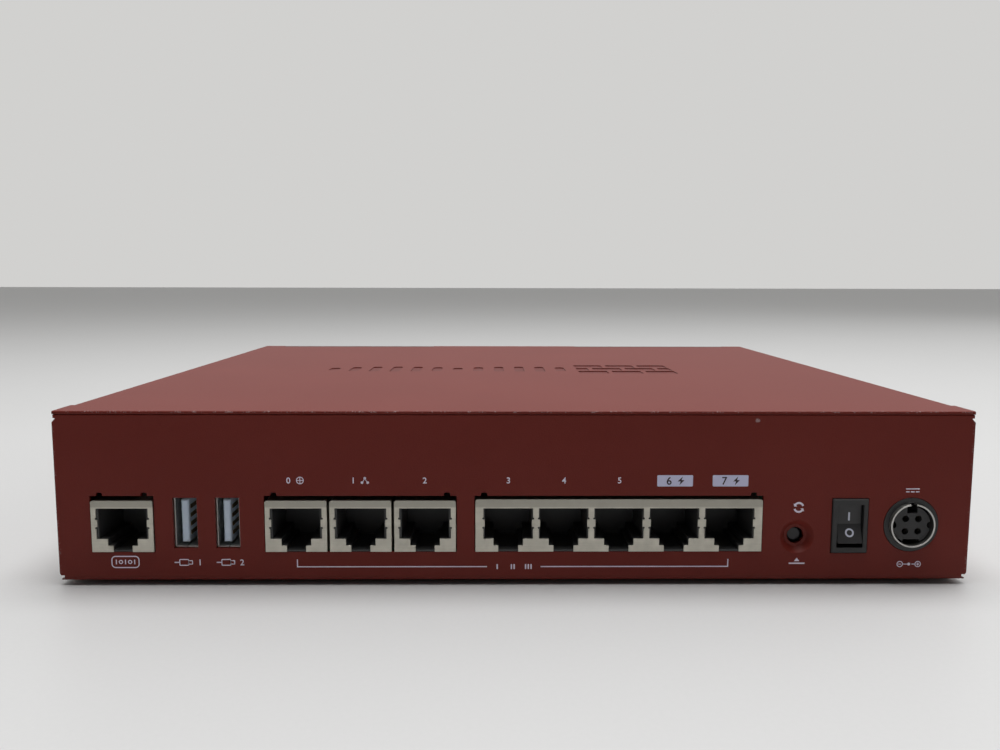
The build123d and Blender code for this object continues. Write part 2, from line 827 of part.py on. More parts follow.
def jack_housing(name, centre, width, height, mouths, latch):
    # moulded insert that fills the shield, with one plug cavity and latch channel for each socket
    wall = jack_sheet + housing_gap
    front = jack_front_y + jack_sheet + housing_gap
    with BuildPart() as housing:
        block(
            (centre - width / 2 + wall, centre + width / 2 - wall),
            (front, jack_front_y + jack_depth - wall),
            (board_level, board_level + height - wall),
        )
        with BuildSketch(cross_plane(front)) as cut:
            for x in mouths:
                box_cut((x - cavity_width / 2, x + cavity_width / 2), (mouth_foot, mouth_top - roof_gap))
                box_cut((x - shoulder_width / 2, x + shoulder_width / 2), (shoulder_foot, mouth_foot))
                box_cut((x - latch / 2, x + latch / 2), (board_level + latch_floor, shoulder_foot))
        extrude(cut.sketch, amount=-cavity_depth, mode=Mode.SUBTRACT)
    save(housing.part, name)


def jack_contacts(name, mouths):
    # eight sprung wires in each cavity, running down and back from its roof
    roof = mouth_top - roof_gap
    start = jack_front_y + contact_setback
    end = jack_front_y + contact_end
    with BuildPart() as contacts:
        for x in mouths:
            for i in range(contact_count):
                wire_x = x + contact_pitch * (i - (contact_count - 1) / 2)
                with BuildSketch(side_plane(wire_x - contact_wire / 2)) as wire:
                    with BuildLine():
                        Polyline(
                            (start, roof),
                            (start, roof - contact_wire),
                            (start + contact_bend, roof - contact_wire),
                            (end, roof - contact_drop),
                            (end, roof - contact_drop + contact_wire),
                            (start + contact_bend + contact_wire, roof),
                            close=True,
                        )
                    make_face()
                extrude(wire.sketch, amount=contact_wire)
    save(contacts.part, name)


single_jacks = {"console": console_centre}
for number, centre in enumerate(lan_centres):
    single_jacks[f"lan_{number}"] = centre
for jack, centre in single_jacks.items():
    jack_shield(f"{jack}_jack_shield", centre, jack_width, jack_height, [centre], single_mouth, latch_width)
    jack_housing(f"{jack}_jack_housing", centre, jack_width, jack_height, [centre], latch_width)
    jack_contacts(f"{jack}_jack_contacts", [centre])
jack_shield("gang_jack_shield", gang_centre, gang_width, gang_height, gang_mouths, gang_mouth, gang_latch_width)
jack_housing("gang_jack_housing", gang_centre, gang_width, gang_height, gang_mouths, gang_latch_width)
jack_contacts("gang_jack_contacts", gang_mouths)

# ---------------------------------------------------------------- USB sockets
usb_front_y = panel_back_y + usb_setback
for number, centre in enumerate(usb_centres, start=1):
    left = centre - usb_width / 2
    with BuildPart() as usb_shell:
        block((left, left + usb_width), (usb_front_y, usb_front_y + usb_depth), (usb_foot, usb_foot + usb_height))
        fillet(usb_shell.edges().filter_by(Axis.Y), jack_corner)
        block(
            (left + usb_sheet, left + usb_width - usb_sheet),
            (usb_front_y, usb_front_y + usb_depth - usb_sheet),
            (usb_foot + usb_sheet, usb_foot + usb_height - usb_sheet),
            Mode.SUBTRACT,
        )
        # seam under the shell, and windows left by the grip springs in both broad sides
        block(
            (centre - usb_seam / 2, centre + usb_seam / 2),
            (usb_front_y, usb_front_y + usb_depth),
            (usb_foot, usb_foot + usb_sheet),
            Mode.SUBTRACT,
        )
        with BuildSketch(side_plane(left)) as windows:
            for level in (usb_foot + spring_margin, usb_foot + usb_height - spring_margin):
                with Locations((usb_front_y + spring_margin, level)):
                    Rectangle(spring_length, spring_width + 2 * usb_sheet, align=(Align.MIN, Align.CENTER))
                    Rectangle(
                        spring_length - usb_sheet,
                        spring_width,
                        align=(Align.MIN, Align.CENTER),
                        mode=Mode.SUBTRACT,
                    )
        extrude(windows.sketch, amount=usb_width, mode=Mode.SUBTRACT)
        # legs down to the board
        for x in (left, left + usb_width - usb_sheet):
            block(
                (x, x + usb_sheet),
                (usb_front_y + usb_depth / 2, usb_front_y + usb_depth / 2 + usb_leg_depth),
                (board_level, usb_foot + jack_corner + usb_sheet),
            )
    save(usb_shell.part, f"usb_{number}_shell")

    tongue_left = centre + tongue_shift - tongue_thickness / 2
    tongue_foot = usb_foot + (usb_height - tongue_height) / 2
    block_back_y = usb_front_y + usb_depth - usb_sheet - housing_gap
    with BuildPart() as usb_tongue:
        block(
            (tongue_left, tongue_left + tongue_thickness),
            (usb_front_y + tongue_setback, block_back_y),
            (tongue_foot, tongue_foot + tongue_height),
        )
        chamfer(usb_tongue.faces().sort_by(Axis.Y)[0].edges(), 0.3)
        block(
            (left + usb_sheet + housing_gap, left + usb_width - usb_sheet - housing_gap),
            (block_back_y - usb_block_depth, block_back_y),
            (usb_foot + usb_sheet + housing_gap, usb_foot + usb_height - usb_sheet - housing_gap),
        )
    save(usb_tongue.part, f"usb_{number}_tongue")

    with BuildPart() as usb_contacts:
        with BuildSketch(side_plane(tongue_left + tongue_thickness)) as strips:
            strip_y = usb_front_y + tongue_setback + usb_contact_setback + usb_contact_size[0] / 2
            with Locations((strip_y, usb_foot + usb_height / 2)):
                with GridLocations(1.0, usb_contact_pitch, 1, usb_contact_count):
                    Rectangle(*usb_contact_size[:2])
        extrude(strips.sketch, amount=usb_contact_size[2])
    save(usb_contacts.part, f"usb_{number}_contacts")

# ---------------------------------------------------------------- reset switch
collar_front_y = port_face_y + reset_body_front + reset_wall + reset_stop_gap
cavity_back_y = collar_front_y + collar_thickness + button_travel + dome_room
with BuildPart() as reset_switch:
    block(
        (reset_centre - reset_body_width / 2, reset_centre + reset_body_width / 2),
        (port_face_y + reset_body_front, port_face_y + reset_body_front + reset_body_depth),
        (board_level, reset_level + reset_body_width / 2),
    )
    rod(
        reset_centre,
        reset_level,
        (port_face_y + reset_body_front, collar_front_y),
        button_diameter + 2 * button_fit,
        Mode.SUBTRACT,
    )
    rod(
        reset_centre,
        reset_level,
        (collar_front_y - reset_stop_gap, cavity_back_y),
        collar_diameter + 4 * button_fit,
        Mode.SUBTRACT,
    )
save(reset_switch.part, "reset_switch")

with BuildPart() as reset_button:
    rod(reset_centre, reset_level, (port_face_y + button_recess, collar_front_y), button_diameter)
    fillet(reset_button.edges().sort_by(Axis.Y)[0], 0.3)
    rod(reset_centre, reset_level, (collar_front_y, collar_front_y + collar_thickness), collar_diameter)
save(reset_button.part, "reset_button")

with BuildPart() as reset_dome:
    rod(reset_centre, reset_level, (cavity_back_y - dome_depth, cavity_back_y), collar_diameter)
    rod(reset_centre, reset_level, (cavity_back_y - dome_depth / 2, cavity_back_y), collar_diameter - dome_room, Mode.SUBTRACT)
    chamfer(reset_dome.edges().sort_by(Axis.Y)[0], 0.15)
save(reset_dome.part, "reset_dome")

# ---------------------------------------------------------------- rocker switch
window_half_length = (rocker_length / 2) / cos(radians(rocker_tilt)) + rocker_end_gap + window_play
window_half_width = rocker_width / 2 + rocker_side_gap
well_back_y = pivot_y + switch_well_depth
switch_step_y = board_rear_y - switch_board_gap
with BuildPart() as switch_frame:
    block(
        (switch_centre - switch_width / 2, switch_centre + switch_width / 2),
        (port_face_y - switch_proud, switch_step_y),
        (switch_level - switch_height / 2, switch_level + switch_height / 2),
    )
    chamfer(switch_frame.faces().sort_by(Axis.Y)[0].edges(), 0.25)
    block(
        (switch_centre - switch_width / 2, switch_centre + switch_width / 2),
        (switch_step_y, port_face_y + switch_depth),
        (board_level, switch_level + switch_height / 2),
    )
    block(
        (switch_centre - window_half_width, switch_centre + window_half_width),
        (port_face_y - switch_proud, well_back_y),
        (switch_level - window_half_length, switch_level + window_half_length),
        Mode.SUBTRACT,
    )
    with BuildSketch(side_plane(switch_centre - rocker_width / 2 - trunnion_length - 0.1)) as sockets:
        with Locations((pivot_y, switch_level)):
            Circle(trunnion_diameter / 2 + trunnion_fit)
    extrude(sockets.sketch, amount=rocker_width + 2 * trunnion_length + 0.2, mode=Mode.SUBTRACT)
save(switch_frame.part, "switch_frame")

# the rocker rests with its upper half pressed, so its plane is tilted by half the throw
rocker_plane = Plane(
    origin=(switch_centre - rocker_width / 2, pivot_y, foot_height + switch_level),
    x_dir=(0, cos(radians(rocker_tilt)), -sin(radians(rocker_tilt))),
    z_dir=(1, 0, 0),
)
trunnion_plane = rocker_plane.offset(-trunnion_length)
valley_x = -(pivot_depth - rocker_valley)
tip_x = valley_x - rocker_length / 2 * tan(radians(rocker_tilt))
with BuildPart() as power_rocker:
    with BuildSketch(rocker_plane):
        with BuildLine():
            Polyline(
                (valley_x, 0),
                (tip_x, rocker_length / 2),
                (-0.6, rocker_length / 2),
                (1.2, 2.6),
                (1.6, 0.9),
                (3.2, 0.5),
                (3.2, -0.5),
                (1.6, -0.9),
                (1.2, -2.6),
                (-0.6, -rocker_length / 2),
                (tip_x, -rocker_length / 2),
                close=True,
            )
        make_face()
    extrude(amount=rocker_width)
    fillet(power_rocker.faces().filter_by(Axis.X).edges().group_by(Axis.Y)[0], rocker_edge)
    with BuildSketch(trunnion_plane):
        Circle(trunnion_diameter / 2)
    extrude(amount=rocker_width + 2 * trunnion_length)
save(power_rocker.part, "power_rocker")

with BuildPart() as switch_terminals:
    for side in (-1, 1):
        place = (switch_centre + side * terminal_spread / 2, port_face_y + switch_depth + terminal_size[1] / 2)
        pad(place, terminal_size[:2], (board_level, board_level + terminal_size[2]))
save(switch_terminals.part, "switch_terminals")

# ---------------------------------------------------------------- round power socket
socket_back_y = port_face_y + socket_body_depth
ring_back_y = socket_mouth_y + ring_length
bore_diameter = ring_outer_diameter + 2 * ring_fit
with BuildPart() as power_socket_body:
    rod(socket_centre, socket_level, (port_face_y - nose_proud, panel_back_y + nose_step), socket_nose_diameter)
    block(
        (socket_centre - socket_nose_diameter / 2, socket_centre + socket_nose_diameter / 2),
        (panel_back_y + nose_step, socket_back_y),
        (board_level, socket_level + socket_nose_diameter / 2),
    )
    rod(socket_centre, socket_level, (port_face_y - nose_proud, ring_back_y), bore_diameter, Mode.SUBTRACT)
    rod(socket_centre, socket_level, (ring_back_y, socket_back_y), insert_diameter, Mode.SUBTRACT)
save(power_socket_body.part, "power_socket_body")

with BuildPart() as power_socket_ring:
    rod(socket_centre, socket_level, (socket_mouth_y, ring_back_y), ring_outer_diameter)
    rod(
        socket_centre,
        socket_level,
        (socket_mouth_y, ring_back_y),
        ring_outer_diameter - 2 * ring_wall,
        Mode.SUBTRACT,
    )
    block(
        (socket_centre - ring_slot / 2, socket_centre + ring_slot / 2),
        (socket_mouth_y, socket_mouth_y + ring_slot_length),
        (socket_level, socket_level + ring_outer_diameter),
        Mode.SUBTRACT,
    )
save(power_socket_ring.part, "power_socket_ring")

pin_places = [
    (socket_centre + x * pin_half_spacing, socket_level + z * pin_half_spacing) for x in (-1, 1) for z in (-1, 1)
]
insert_front_y = socket_mouth_y + insert_setback
insert_radius = insert_diameter / 2
with BuildPart() as power_socket_insert:
    rod(socket_centre, socket_level, (insert_front_y, socket_back_y), insert_diameter)
    with BuildSketch(cross_plane(insert_front_y)):
        box_cut(
            (socket_centre - key_width / 2, socket_centre + key_width / 2),
            (socket_level + insert_radius - key_depth, socket_level + insert_radius + 1),
        )
        box_cut(
            (socket_centre - foot_key_width / 2, socket_centre + foot_key_width / 2),
            (socket_level - insert_radius - 1, socket_level - insert_radius + foot_key_depth),
        )
        with Locations(
            (socket_centre - insert_radius, socket_level), (socket_centre + insert_radius, socket_level)
        ):
            Circle(side_key_diameter / 2)
    extrude(amount=-key_length, mode=Mode.SUBTRACT)
    with BuildSketch(cross_plane(insert_front_y)):
        with Locations(*pin_places):
            Circle(pin_hole_diameter / 2)
    extrude(amount=-pin_hole_depth, mode=Mode.SUBTRACT)
save(power_socket_insert.part, "power_socket_insert")

with BuildPart() as power_socket_contacts:
    for x, level in pin_places:
        pin_y = insert_front_y + pin_setback
        pin_diameter = pin_hole_diameter - 2 * housing_gap
        rod(x, level, (pin_y, insert_front_y + pin_hole_depth), pin_diameter)
        rod(x, level, (pin_y, insert_front_y + pin_hole_depth - 1), pin_diameter - 2 * pin_wall, Mode.SUBTRACT)
save(power_socket_contacts.part, "power_socket_contacts")

# ---------------------------------------------------------------- processor and its heat sink
chip_top = board_level + chip_height
sink_base = chip_top + pad_height
sink_floor_top = sink_base + sink_floor
spring_top = sink_floor_top + pin_spring_height
px, py = processor_place
with BuildPart() as processor:
    pad(processor_place, (processor_size, processor_size), (board_level, board_level + processor_height))
    pad(processor_place, (die_size, die_size), (board_level + processor_height, chip_top))
save(processor.part, "processor")

with BuildPart() as thermal_pad:
    pad(processor_place, (pad_size, pad_size), (chip_top, sink_base))
save(thermal_pad.part, "thermal_pad")

push_pin_offset = sink_size / 2 - push_pin_inset
push_pin_places = [(px - push_pin_offset, py + push_pin_offset), (px + push_pin_offset, py - push_pin_offset)]
with BuildPart() as heat_sink:
    pad(processor_place, (sink_size, sink_size), (sink_base, sink_floor_top))
    with BuildSketch(level_plane(sink_floor_top)):
        with Locations(processor_place):
            with GridLocations(fin_pitch, 1.0, fin_count, 1):
                Rectangle(fin_thickness, sink_size)
    extrude(amount=sink_height - sink_floor)
    for place in push_pin_places:
        corner = 2 * push_pin_inset
        pad(place, (corner, corner), (sink_floor_top, sink_base + sink_height), Mode.SUBTRACT)
        post(*place, (sink_base, sink_floor_top), push_pin_diameter + pin_hole_gap, Mode.SUBTRACT)
save(heat_sink.part, "heat_sink")

with BuildPart() as push_pins:
    for place in push_pin_places:
        post(*place, (board_level, spring_top), push_pin_diameter)
        post(*place, (spring_top, spring_top + push_pin_cap[1]), push_pin_cap[0])
save(push_pins.part, "push_pins")

with BuildPart() as push_pin_springs:
    for place in push_pin_places:
        post(*place, (sink_floor_top, spring_top), pin_spring_diameter)
        post(*place, (sink_floor_top, spring_top), pin_spring_bore, Mode.SUBTRACT)
save(push_pin_springs.part, "push_pin_springs")

# ---------------------------------------------------------------- switch chip, memory, storage, cell
switch_chip_top = board_level + switch_chip_height
with BuildPart() as switch_chip:
    pad(switch_chip_place, (switch_chip_size, switch_chip_size), (board_level, switch_chip_top))
save(switch_chip.part, "switch_chip")

with BuildPart() as switch_chip_sink:
    pad(switch_chip_place, (chip_sink_size, chip_sink_size), (switch_chip_top, switch_chip_top + chip_sink_floor))
    with BuildSketch(level_plane(switch_chip_top + chip_sink_floor)):
        with Locations(switch_chip_place):
            with GridLocations(chip_sink_pitch, chip_sink_pitch, chip_sink_pins, chip_sink_pins):
                Rectangle(chip_sink_pin, chip_sink_pin)
    extrude(amount=chip_sink_height)
save(switch_chip_sink.part, "switch_chip_sink")

with BuildPart() as memory_chips:
    for i in range(memory_count):
        place = (px + (i - (memory_count - 1) / 2) * memory_pitch, py + memory_offset)
        pad(place, memory_size, (board_level, board_level + memory_height))
save(memory_chips.part, "memory_chips")

card_x, card_middle = card_place
card_foot = board_level + card_level
card_top = card_foot + card_thickness
socket_x = (card_x - card_socket_width / 2, card_x + card_socket_width / 2)
socket_y = (card_middle + card_socket_y[0], card_middle + card_socket_y[1])
with BuildPart() as card_socket:
    block(socket_x, socket_y, (board_level, board_level + card_slot_level))
    block(
        socket_x,
        (socket_y[0], socket_y[0] + card_socket_lip),
        (board_level + card_slot_level, board_level + card_socket_height),
    )
    for side in (-1, 1):
        place = (card_x + side * card_post_offset[0], card_middle + card_post_offset[1])
        pad(place, card_post_size, (board_level, card_foot))
save(card_socket.part, "card_socket")

with BuildPart() as storage_card:
    block(
        (card_x - card_width / 2, card_x + card_width / 2),
        (card_middle + card_y[0], card_middle + card_y[1]),
        (card_foot, card_top),
    )
    for row in card_chip_rows:
        pad((card_x, card_middle + row), card_chip_size, (card_top, card_top + card_chip_height))
save(storage_card.part, "storage_card")

holder_floor_top = board_level + holder_floor
holder_top = board_level + holder_height
with BuildPart() as cell_holder:
    post(*cell_place, (board_level, holder_top), holder_diameter)
    post(*cell_place, (holder_floor_top, holder_top), holder_bore, Mode.SUBTRACT)
    slot_place = (cell_place[0], cell_place[1] + holder_diameter / 2)
    pad(slot_place, holder_slot, (holder_floor_top, holder_top), Mode.SUBTRACT)
save(cell_holder.part, "cell_holder")

with BuildPart() as coin_cell:
    post(*cell_place, (holder_floor_top, holder_floor_top + cell_thickness), cell_diameter)
    fillet(coin_cell.edges().sort_by(Axis.Z)[-1], cell_rounding)
save(coin_cell.part, "coin_cell")

# ---------------------------------------------------------------- magnetics and power parts
with BuildPart() as lan_transformers:
    for x in transformer_places:
        place = (x, port_face_y + transformer_setback)
        pad(place, transformer_size[:2], (board_level, board_level + transformer_size[2]))
save(lan_transformers.part, "lan_transformers")

with BuildPart() as power_inductors:
    for place in inductor_places:
        pad(place, (inductor_size, inductor_size), (board_level, board_level + inductor_height))
    fillet(power_inductors.edges().filter_by(Axis.Z), inductor_rounding)
save(power_inductors.part, "power_inductors")

transformer_foot_top = board_level + power_transformer_foot[2]
with BuildPart() as power_transformer:
    pad(power_transformer_place, power_transformer_foot[:2], (board_level, transformer_foot_top))
    core_top = board_level + power_transformer_core[2]
    pad(power_transformer_place, power_transformer_core[:2], (transformer_foot_top, core_top))
save(power_transformer.part, "power_transformer")

with BuildPart() as power_capacitors:
    for place in capacitor_places:
        post(*place, (board_level, board_level + capacitor_height), capacitor_diameter)
    fillet(power_capacitors.edges().group_by(Axis.Z)[-1], capacitor_rounding)
save(power_capacitors.part, "power_capacitors")

with BuildPart() as control_chips:
    for place in control_chip_places:
        pad(place, (control_chip_size, control_chip_size), (board_level, board_level + control_chip_height))
save(control_chips.part, "control_chips")

# insulating film between the floor and the board's soldered side
with BuildPart() as insulating_film:
    block((-film_half_width, film_half_width), film_y, (tray_sheet, tray_sheet + film_thickness))
    with BuildSketch(level_plane(tray_sheet)):
        with GridLocations(2 * vent_pitch, floor_vent_row_pitch, floor_vent_columns, 2):
            SlotOverall(floor_vent_length + 1, vent_slot_width + 1, rotation=90)
    extrude(amount=film_thickness, mode=Mode.SUBTRACT)
save(insulating_film.part, "insulating_film")
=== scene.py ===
import json
import math

import bpy
import numpy as np
from mathutils import Matrix, Vector


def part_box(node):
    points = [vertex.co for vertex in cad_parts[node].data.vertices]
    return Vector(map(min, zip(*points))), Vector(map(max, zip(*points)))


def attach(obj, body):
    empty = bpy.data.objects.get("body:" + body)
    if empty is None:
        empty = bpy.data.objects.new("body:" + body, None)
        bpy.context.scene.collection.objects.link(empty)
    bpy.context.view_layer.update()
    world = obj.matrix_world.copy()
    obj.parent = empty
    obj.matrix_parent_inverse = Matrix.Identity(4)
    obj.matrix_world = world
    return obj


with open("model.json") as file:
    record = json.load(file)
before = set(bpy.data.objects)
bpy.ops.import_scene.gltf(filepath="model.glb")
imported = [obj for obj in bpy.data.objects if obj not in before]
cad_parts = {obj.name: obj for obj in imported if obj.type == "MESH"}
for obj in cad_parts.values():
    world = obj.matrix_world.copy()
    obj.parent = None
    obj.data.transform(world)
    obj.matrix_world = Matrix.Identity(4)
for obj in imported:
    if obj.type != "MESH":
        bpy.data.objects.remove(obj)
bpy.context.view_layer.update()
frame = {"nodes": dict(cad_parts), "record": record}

mm = 0.001
nodes = frame["nodes"]
print("frame loaded:", len(nodes), "nodes")


# places read from the frame, in mm
def span(node):
    low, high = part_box(node)
    return np.array(low) / mm, np.array(high) / mm


def middle(node):
    low, high = span(node)
    return (low + high) / 2


coverLow, coverHigh = span("top_cover")
caseFoot = coverLow[2]          # underside of the case
portFace = coverLow[1]          # plane of the socket panel
frontFace = coverHigh[1]        # plane of the bezel
caseTop = coverHigh[2]


# shader maths: a Wire is one socket, and sums on it add Math nodes
class Wire:
    def __init__(self, paint, socket):
        self.paint = paint
        self.socket = socket

    def sum(self, operation, first, second):
        return self.paint.node("ShaderNodeMath", {"operation": operation}, {0: first, 1: second})

    def __add__(self, other):
        return self.sum("ADD", self, other)

    __radd__ = __add__

    def __sub__(self, other):
        return self.sum("SUBTRACT", self, other)

    def __rsub__(self, other):
        return self.sum("SUBTRACT", other, self)

    def __mul__(self, other):
        return self.sum("MULTIPLY", self, other)

    __rmul__ = __mul__

    def most(self, other):
        return self.sum("MAXIMUM", self, other)

    def size(self):
        return self.sum("ABSOLUTE", self, 0.0)

    def rise(self, low, high):
        # 0 below low, 1 above high, a smooth step between them
        settings = {"interpolation_type": "SMOOTHSTEP"}
        return self.paint.node("ShaderNodeMapRange", settings, {0: self, 1: low, 2: high, 3: 0.0, 4: 1.0})

    def riseMm(self, low, high):
        return self.rise(low * mm, high * mm)


class Paint:
    # one material: its node tree, and short ways to add the nodes that the finishes use
    def __init__(self, name, **constants):
        self.material = bpy.data.materials.new(name)
        self.material.use_nodes = True
        self.tree = self.material.node_tree
        self.tree.nodes.clear()
        self.shader = self.tree.nodes.new("ShaderNodeBsdfPrincipled")
        output = self.tree.nodes.new("ShaderNodeOutputMaterial")
        self.tree.links.new(self.shader.outputs[0], output.inputs[0])
        for key, value in constants.items():
            self.feed(self.shader.inputs[key.replace("_", " ")], value)
        place = self.tree.nodes.new("ShaderNodeTexCoord")
        self.place = Wire(self, place.outputs["Object"])
        parts = self.tree.nodes.new("ShaderNodeSeparateXYZ")
        self.tree.links.new(place.outputs["Object"], parts.inputs[0])
        self.x, self.y, self.z = (Wire(self, parts.outputs[i]) for i in range(3))

    def feed(self, socket, value):
        if isinstance(value, Wire):
            self.tree.links.new(value.socket, socket)
        elif socket.type == "RGBA" and len(value) == 3:
            socket.default_value = (*value, 1.0)
        else:
            socket.default_value = value

    def node(self, kind, settings=None, inputs=None, out=0):
        item = self.tree.nodes.new(kind)
        for key, value in (settings or {}).items():
            setattr(item, key, value)
        for key, value in (inputs or {}).items():
            self.feed(item.inputs[key], value)
        return Wire(self, item.outputs[out])

    def stretched(self, sizes):
        # object coordinates divided by a grain length along each axis, given in mm
        scale = Vector([1 / (s * mm) for s in sizes])
        inputs = {"Vector": self.place, "Scale": scale}
        return self.node("ShaderNodeMapping", {"vector_type": "POINT"}, inputs)

    def grain(self, sizes, detail=2.0, rough=0.5, seed=0.0):
        # noise between 0 and 1 whose grain is the given size in mm along x, y, z
        inputs = {"Vector": self.stretched(sizes), "W": seed, "Scale": 1.0}
        inputs.update({"Detail": detail, "Roughness": rough})
        return self.node("ShaderNodeTexNoise", {"noise_dimensions": "4D"}, inputs)

    def mix(self, first, second, amount):
        return self.node("ShaderNodeMix", {"data_type": "RGBA"}, {0: amount, 6: first, 7: second}, out=2)

    def colour(self, value):
        self.feed(self.shader.inputs["Base Color"], value)

    def rough(self, value):
        self.feed(self.shader.inputs["Roughness"], value)

    def relief(self, height, depth, edge=0.0):
        # bump of the given depth in mm; edge rounds the corners' shading by that radius in mm
        inputs = {"Height": height, "Distance": depth * mm, "Strength": 1.0}
        if edge:
            inputs["Normal"] = self.node("ShaderNodeBevel", {"samples": 4}, {"Radius": edge * mm})
        self.feed(self.shader.inputs["Normal"], self.node("ShaderNodeBump", None, inputs))


# finishes
coatLook = {
    "body": (0.147, 0.0165, 0.0103),
    "dust": (0.212, 0.034, 0.025),
    "deep": (0.085, 0.008, 0.006),
    "bareAndHighlight": (0.34, 0.24, 0.24),
    "gloss": 0.20,
    "roughness": 0.40,
    "orangePeel": 0.36,                     # grain of the powder coat, mm
    "fleck": 0.16,                          # darker flecks in it, mm
    "cloud": (38.0, 38.0, 22.0),            # slow changes of shade, mm
    "dustShare": 0.55, "fleckShare": 0.55,
    "fleckFrom": 0.55, "fleckTo": 0.82,
    "peelDepth": 0.045,
    "edgeRound": 0.28,
    "sideBand": (-0.7, -0.1), "topBand": (-0.6, -0.1), "panelBand": (0.2, 0.7),   # bands of worn paint and painted highlight in from the edges, mm
    "wornPatch": 2.6, "wornSpeck": 0.45,    # grain of the worn, highlighted spots, mm
    "wornFrom": 0.535, "wornStep": 0.07,    # lower makes more of the edges pale with wear and painted highlight
    "wornHighlightShare": 0.8, "cornerShare": 0.4,
    "markFloor": -0.22, "markRim": -0.40, "markShadeShare": 0.45,   # levels below the top, mm, and the strength of the painted shade on the mark's floor
    "knock": (60.3, 41.2), "knockRadius": (0.95, 1.25), "knockRagged": 1.2,       # on the panel, mm
}


def powderCoat(name, seed, mark=False):
    look = coatLook
    paint = Paint(name, Metallic=0.0, IOR=1.5, Specular_IOR_Level=look["gloss"])
    peel = paint.grain((look["orangePeel"],) * 3, detail=3.0, rough=0.55, seed=seed)
    fleck = paint.grain((look["fleck"],) * 3, detail=1.0, seed=seed + 3)
    cloud = paint.grain(look["cloud"], detail=3.0, seed=seed + 7)
    dusty = (cloud * 0.5 + peel * 0.35 - 0.28).rise(0.0, 0.62)
    shade = paint.mix(look["body"], look["dust"], dusty * look["dustShare"])
    flecks = fleck.rise(look["fleckFrom"], look["fleckTo"])
    shade = paint.mix(shade, look["deep"], flecks * look["fleckShare"])
    # worn paint and painted highlight: pale specks along the case's outer edges, broken up by noise
    nearSide = (paint.x.size() - coverHigh[0] * mm).riseMm(*look["sideBand"])
    nearTop = (paint.z - caseTop * mm).riseMm(*look["topBand"])
    nearPanel = 1 - (portFace * mm - paint.y).size().riseMm(*look["panelBand"])
    edge = (nearSide * nearTop).most(nearTop * nearPanel)
    edge = edge.most(nearSide * nearPanel * look["cornerShare"])
    patches = paint.grain((look["wornPatch"],) * 3, detail=3.0, rough=0.7, seed=seed + 11)
    specks = paint.grain((look["wornSpeck"],) * 3, detail=2.0, seed=seed + 13)
    wornFrom, wornTo = look["wornFrom"], look["wornFrom"] + look["wornStep"]
    wornAndHighlight = edge * (patches * 0.45 + specks * 0.55).rise(wornFrom, wornTo)
    if mark:
        # painted shade: the pressed mark's sunken floor is darkened towards the deep colour
        sunkShade = 1 - (paint.z - (caseTop + look["markFloor"]) * mm).riseMm(0.0, 0.08)
        onTop = (paint.z - (caseTop + look["markRim"]) * mm).riseMm(0.0, 0.05)
        shade = paint.mix(shade, look["deep"], sunkShade * onTop * look["markShadeShare"])
    else:
        # one knocked spot near the top of the socket panel
        along, level = look["knock"]
        centre = (along * mm, portFace * mm, (caseFoot + level) * mm)
        inputs = {0: paint.place, 1: centre}
        away = paint.node("ShaderNodeVectorMath", {"operation": "DISTANCE"}, inputs, out=1)
        ragged = paint.grain((0.5, 0.5, 0.5), detail=3.0, seed=2.0)
        wornAndHighlight = wornAndHighlight.most(1 - (away + ragged * (look["knockRagged"] * mm)).riseMm(*look["knockRadius"]))
    # the pale colour along the edges is worn paint and a painted highlight
    paint.colour(paint.mix(shade, look["bareAndHighlight"], wornAndHighlight * look["wornHighlightShare"]))
    paint.rough(look["roughness"] + peel * 0.16 - wornAndHighlight * 0.06)
    paint.relief(peel * 0.8 + fleck * 0.25 - wornAndHighlight * 1.2, look["peelDepth"], edge=look["edgeRound"])
    return paint.material


steelLook = {
    "cloud": 2.4, "freckle": 0.3,           # grain of the tarnish and of its freckles, mm
    "freckleTint": (0.16, 0.14, 0.11),
    "dullShare": 0.62,                      # of the bright colour
    "tarnishShare": 0.6, "freckleShare": 0.5, "shadeStripShare": 0.9,
    "depth": 0.006,
}


def platedSteel(
    name, tint, roughness, seed, grainSizes=(9.0, 0.06, 0.06), metallic=0.92, edge=0.12, shadeAbove=None
):
    # sheet metal with a rolling grain, thin cloudy tarnish and a few darker freckles
    look = steelLook
    paint = Paint(name, Metallic=metallic)
    lines = paint.grain(grainSizes, detail=3.0, rough=0.6, seed=seed)
    cloud = paint.grain((look["cloud"],) * 3, detail=3.0, seed=seed + 5)
    freckle = paint.grain((look["freckle"],) * 3, detail=2.0, seed=seed + 9)
    dull = tuple(c * look["dullShare"] for c in tint)
    tarnish = (lines * 0.5 + cloud * 0.6 - 0.30).rise(0.0, 0.6)
    shade = paint.mix(tint, dull, tarnish * look["tarnishShare"])
    shade = paint.mix(shade, look["freckleTint"], freckle.rise(0.70, 0.82) * look["freckleShare"])
    if shadeAbove:
        # painted shade: the top strip of a folded shield is darkened towards the dull colour
        shadeStrip = (paint.z - shadeAbove * mm).riseMm(-0.3, 0.2)
        shade = paint.mix(shade, dull, shadeStrip * look["shadeStripShare"])
    paint.colour(shade)
    paint.rough(roughness + cloud * 0.14 + lines * 0.08)
    paint.relief(lines * 0.7 + cloud * 0.3, look["depth"], edge=edge)
    return paint.material


def moulding(name, tint, roughness, seed, grain=0.12, depth=0.006, edge=0.15, cast=0.12):
    # moulded plastic: fine sparked texture, slightly uneven gloss, faint dust in the texture
    paint = Paint(name, Metallic=0.0, IOR=1.49)
    spark = paint.grain((grain,) * 3, detail=2.0, seed=seed)
    cloud = paint.grain((6.0, 6.0, 6.0), detail=3.0, seed=seed + 4)
    pale = tuple(min(1.0, c * 1.25 + cast * 0.06) for c in tint)
    paint.colour(paint.mix(tint, pale, cloud * 0.6 + spark.rise(0.55, 0.8) * 0.3))
    paint.rough(roughness + cloud * 0.12 - spark * 0.05)
    paint.relief(spark, depth, edge=edge)
    return paint.material


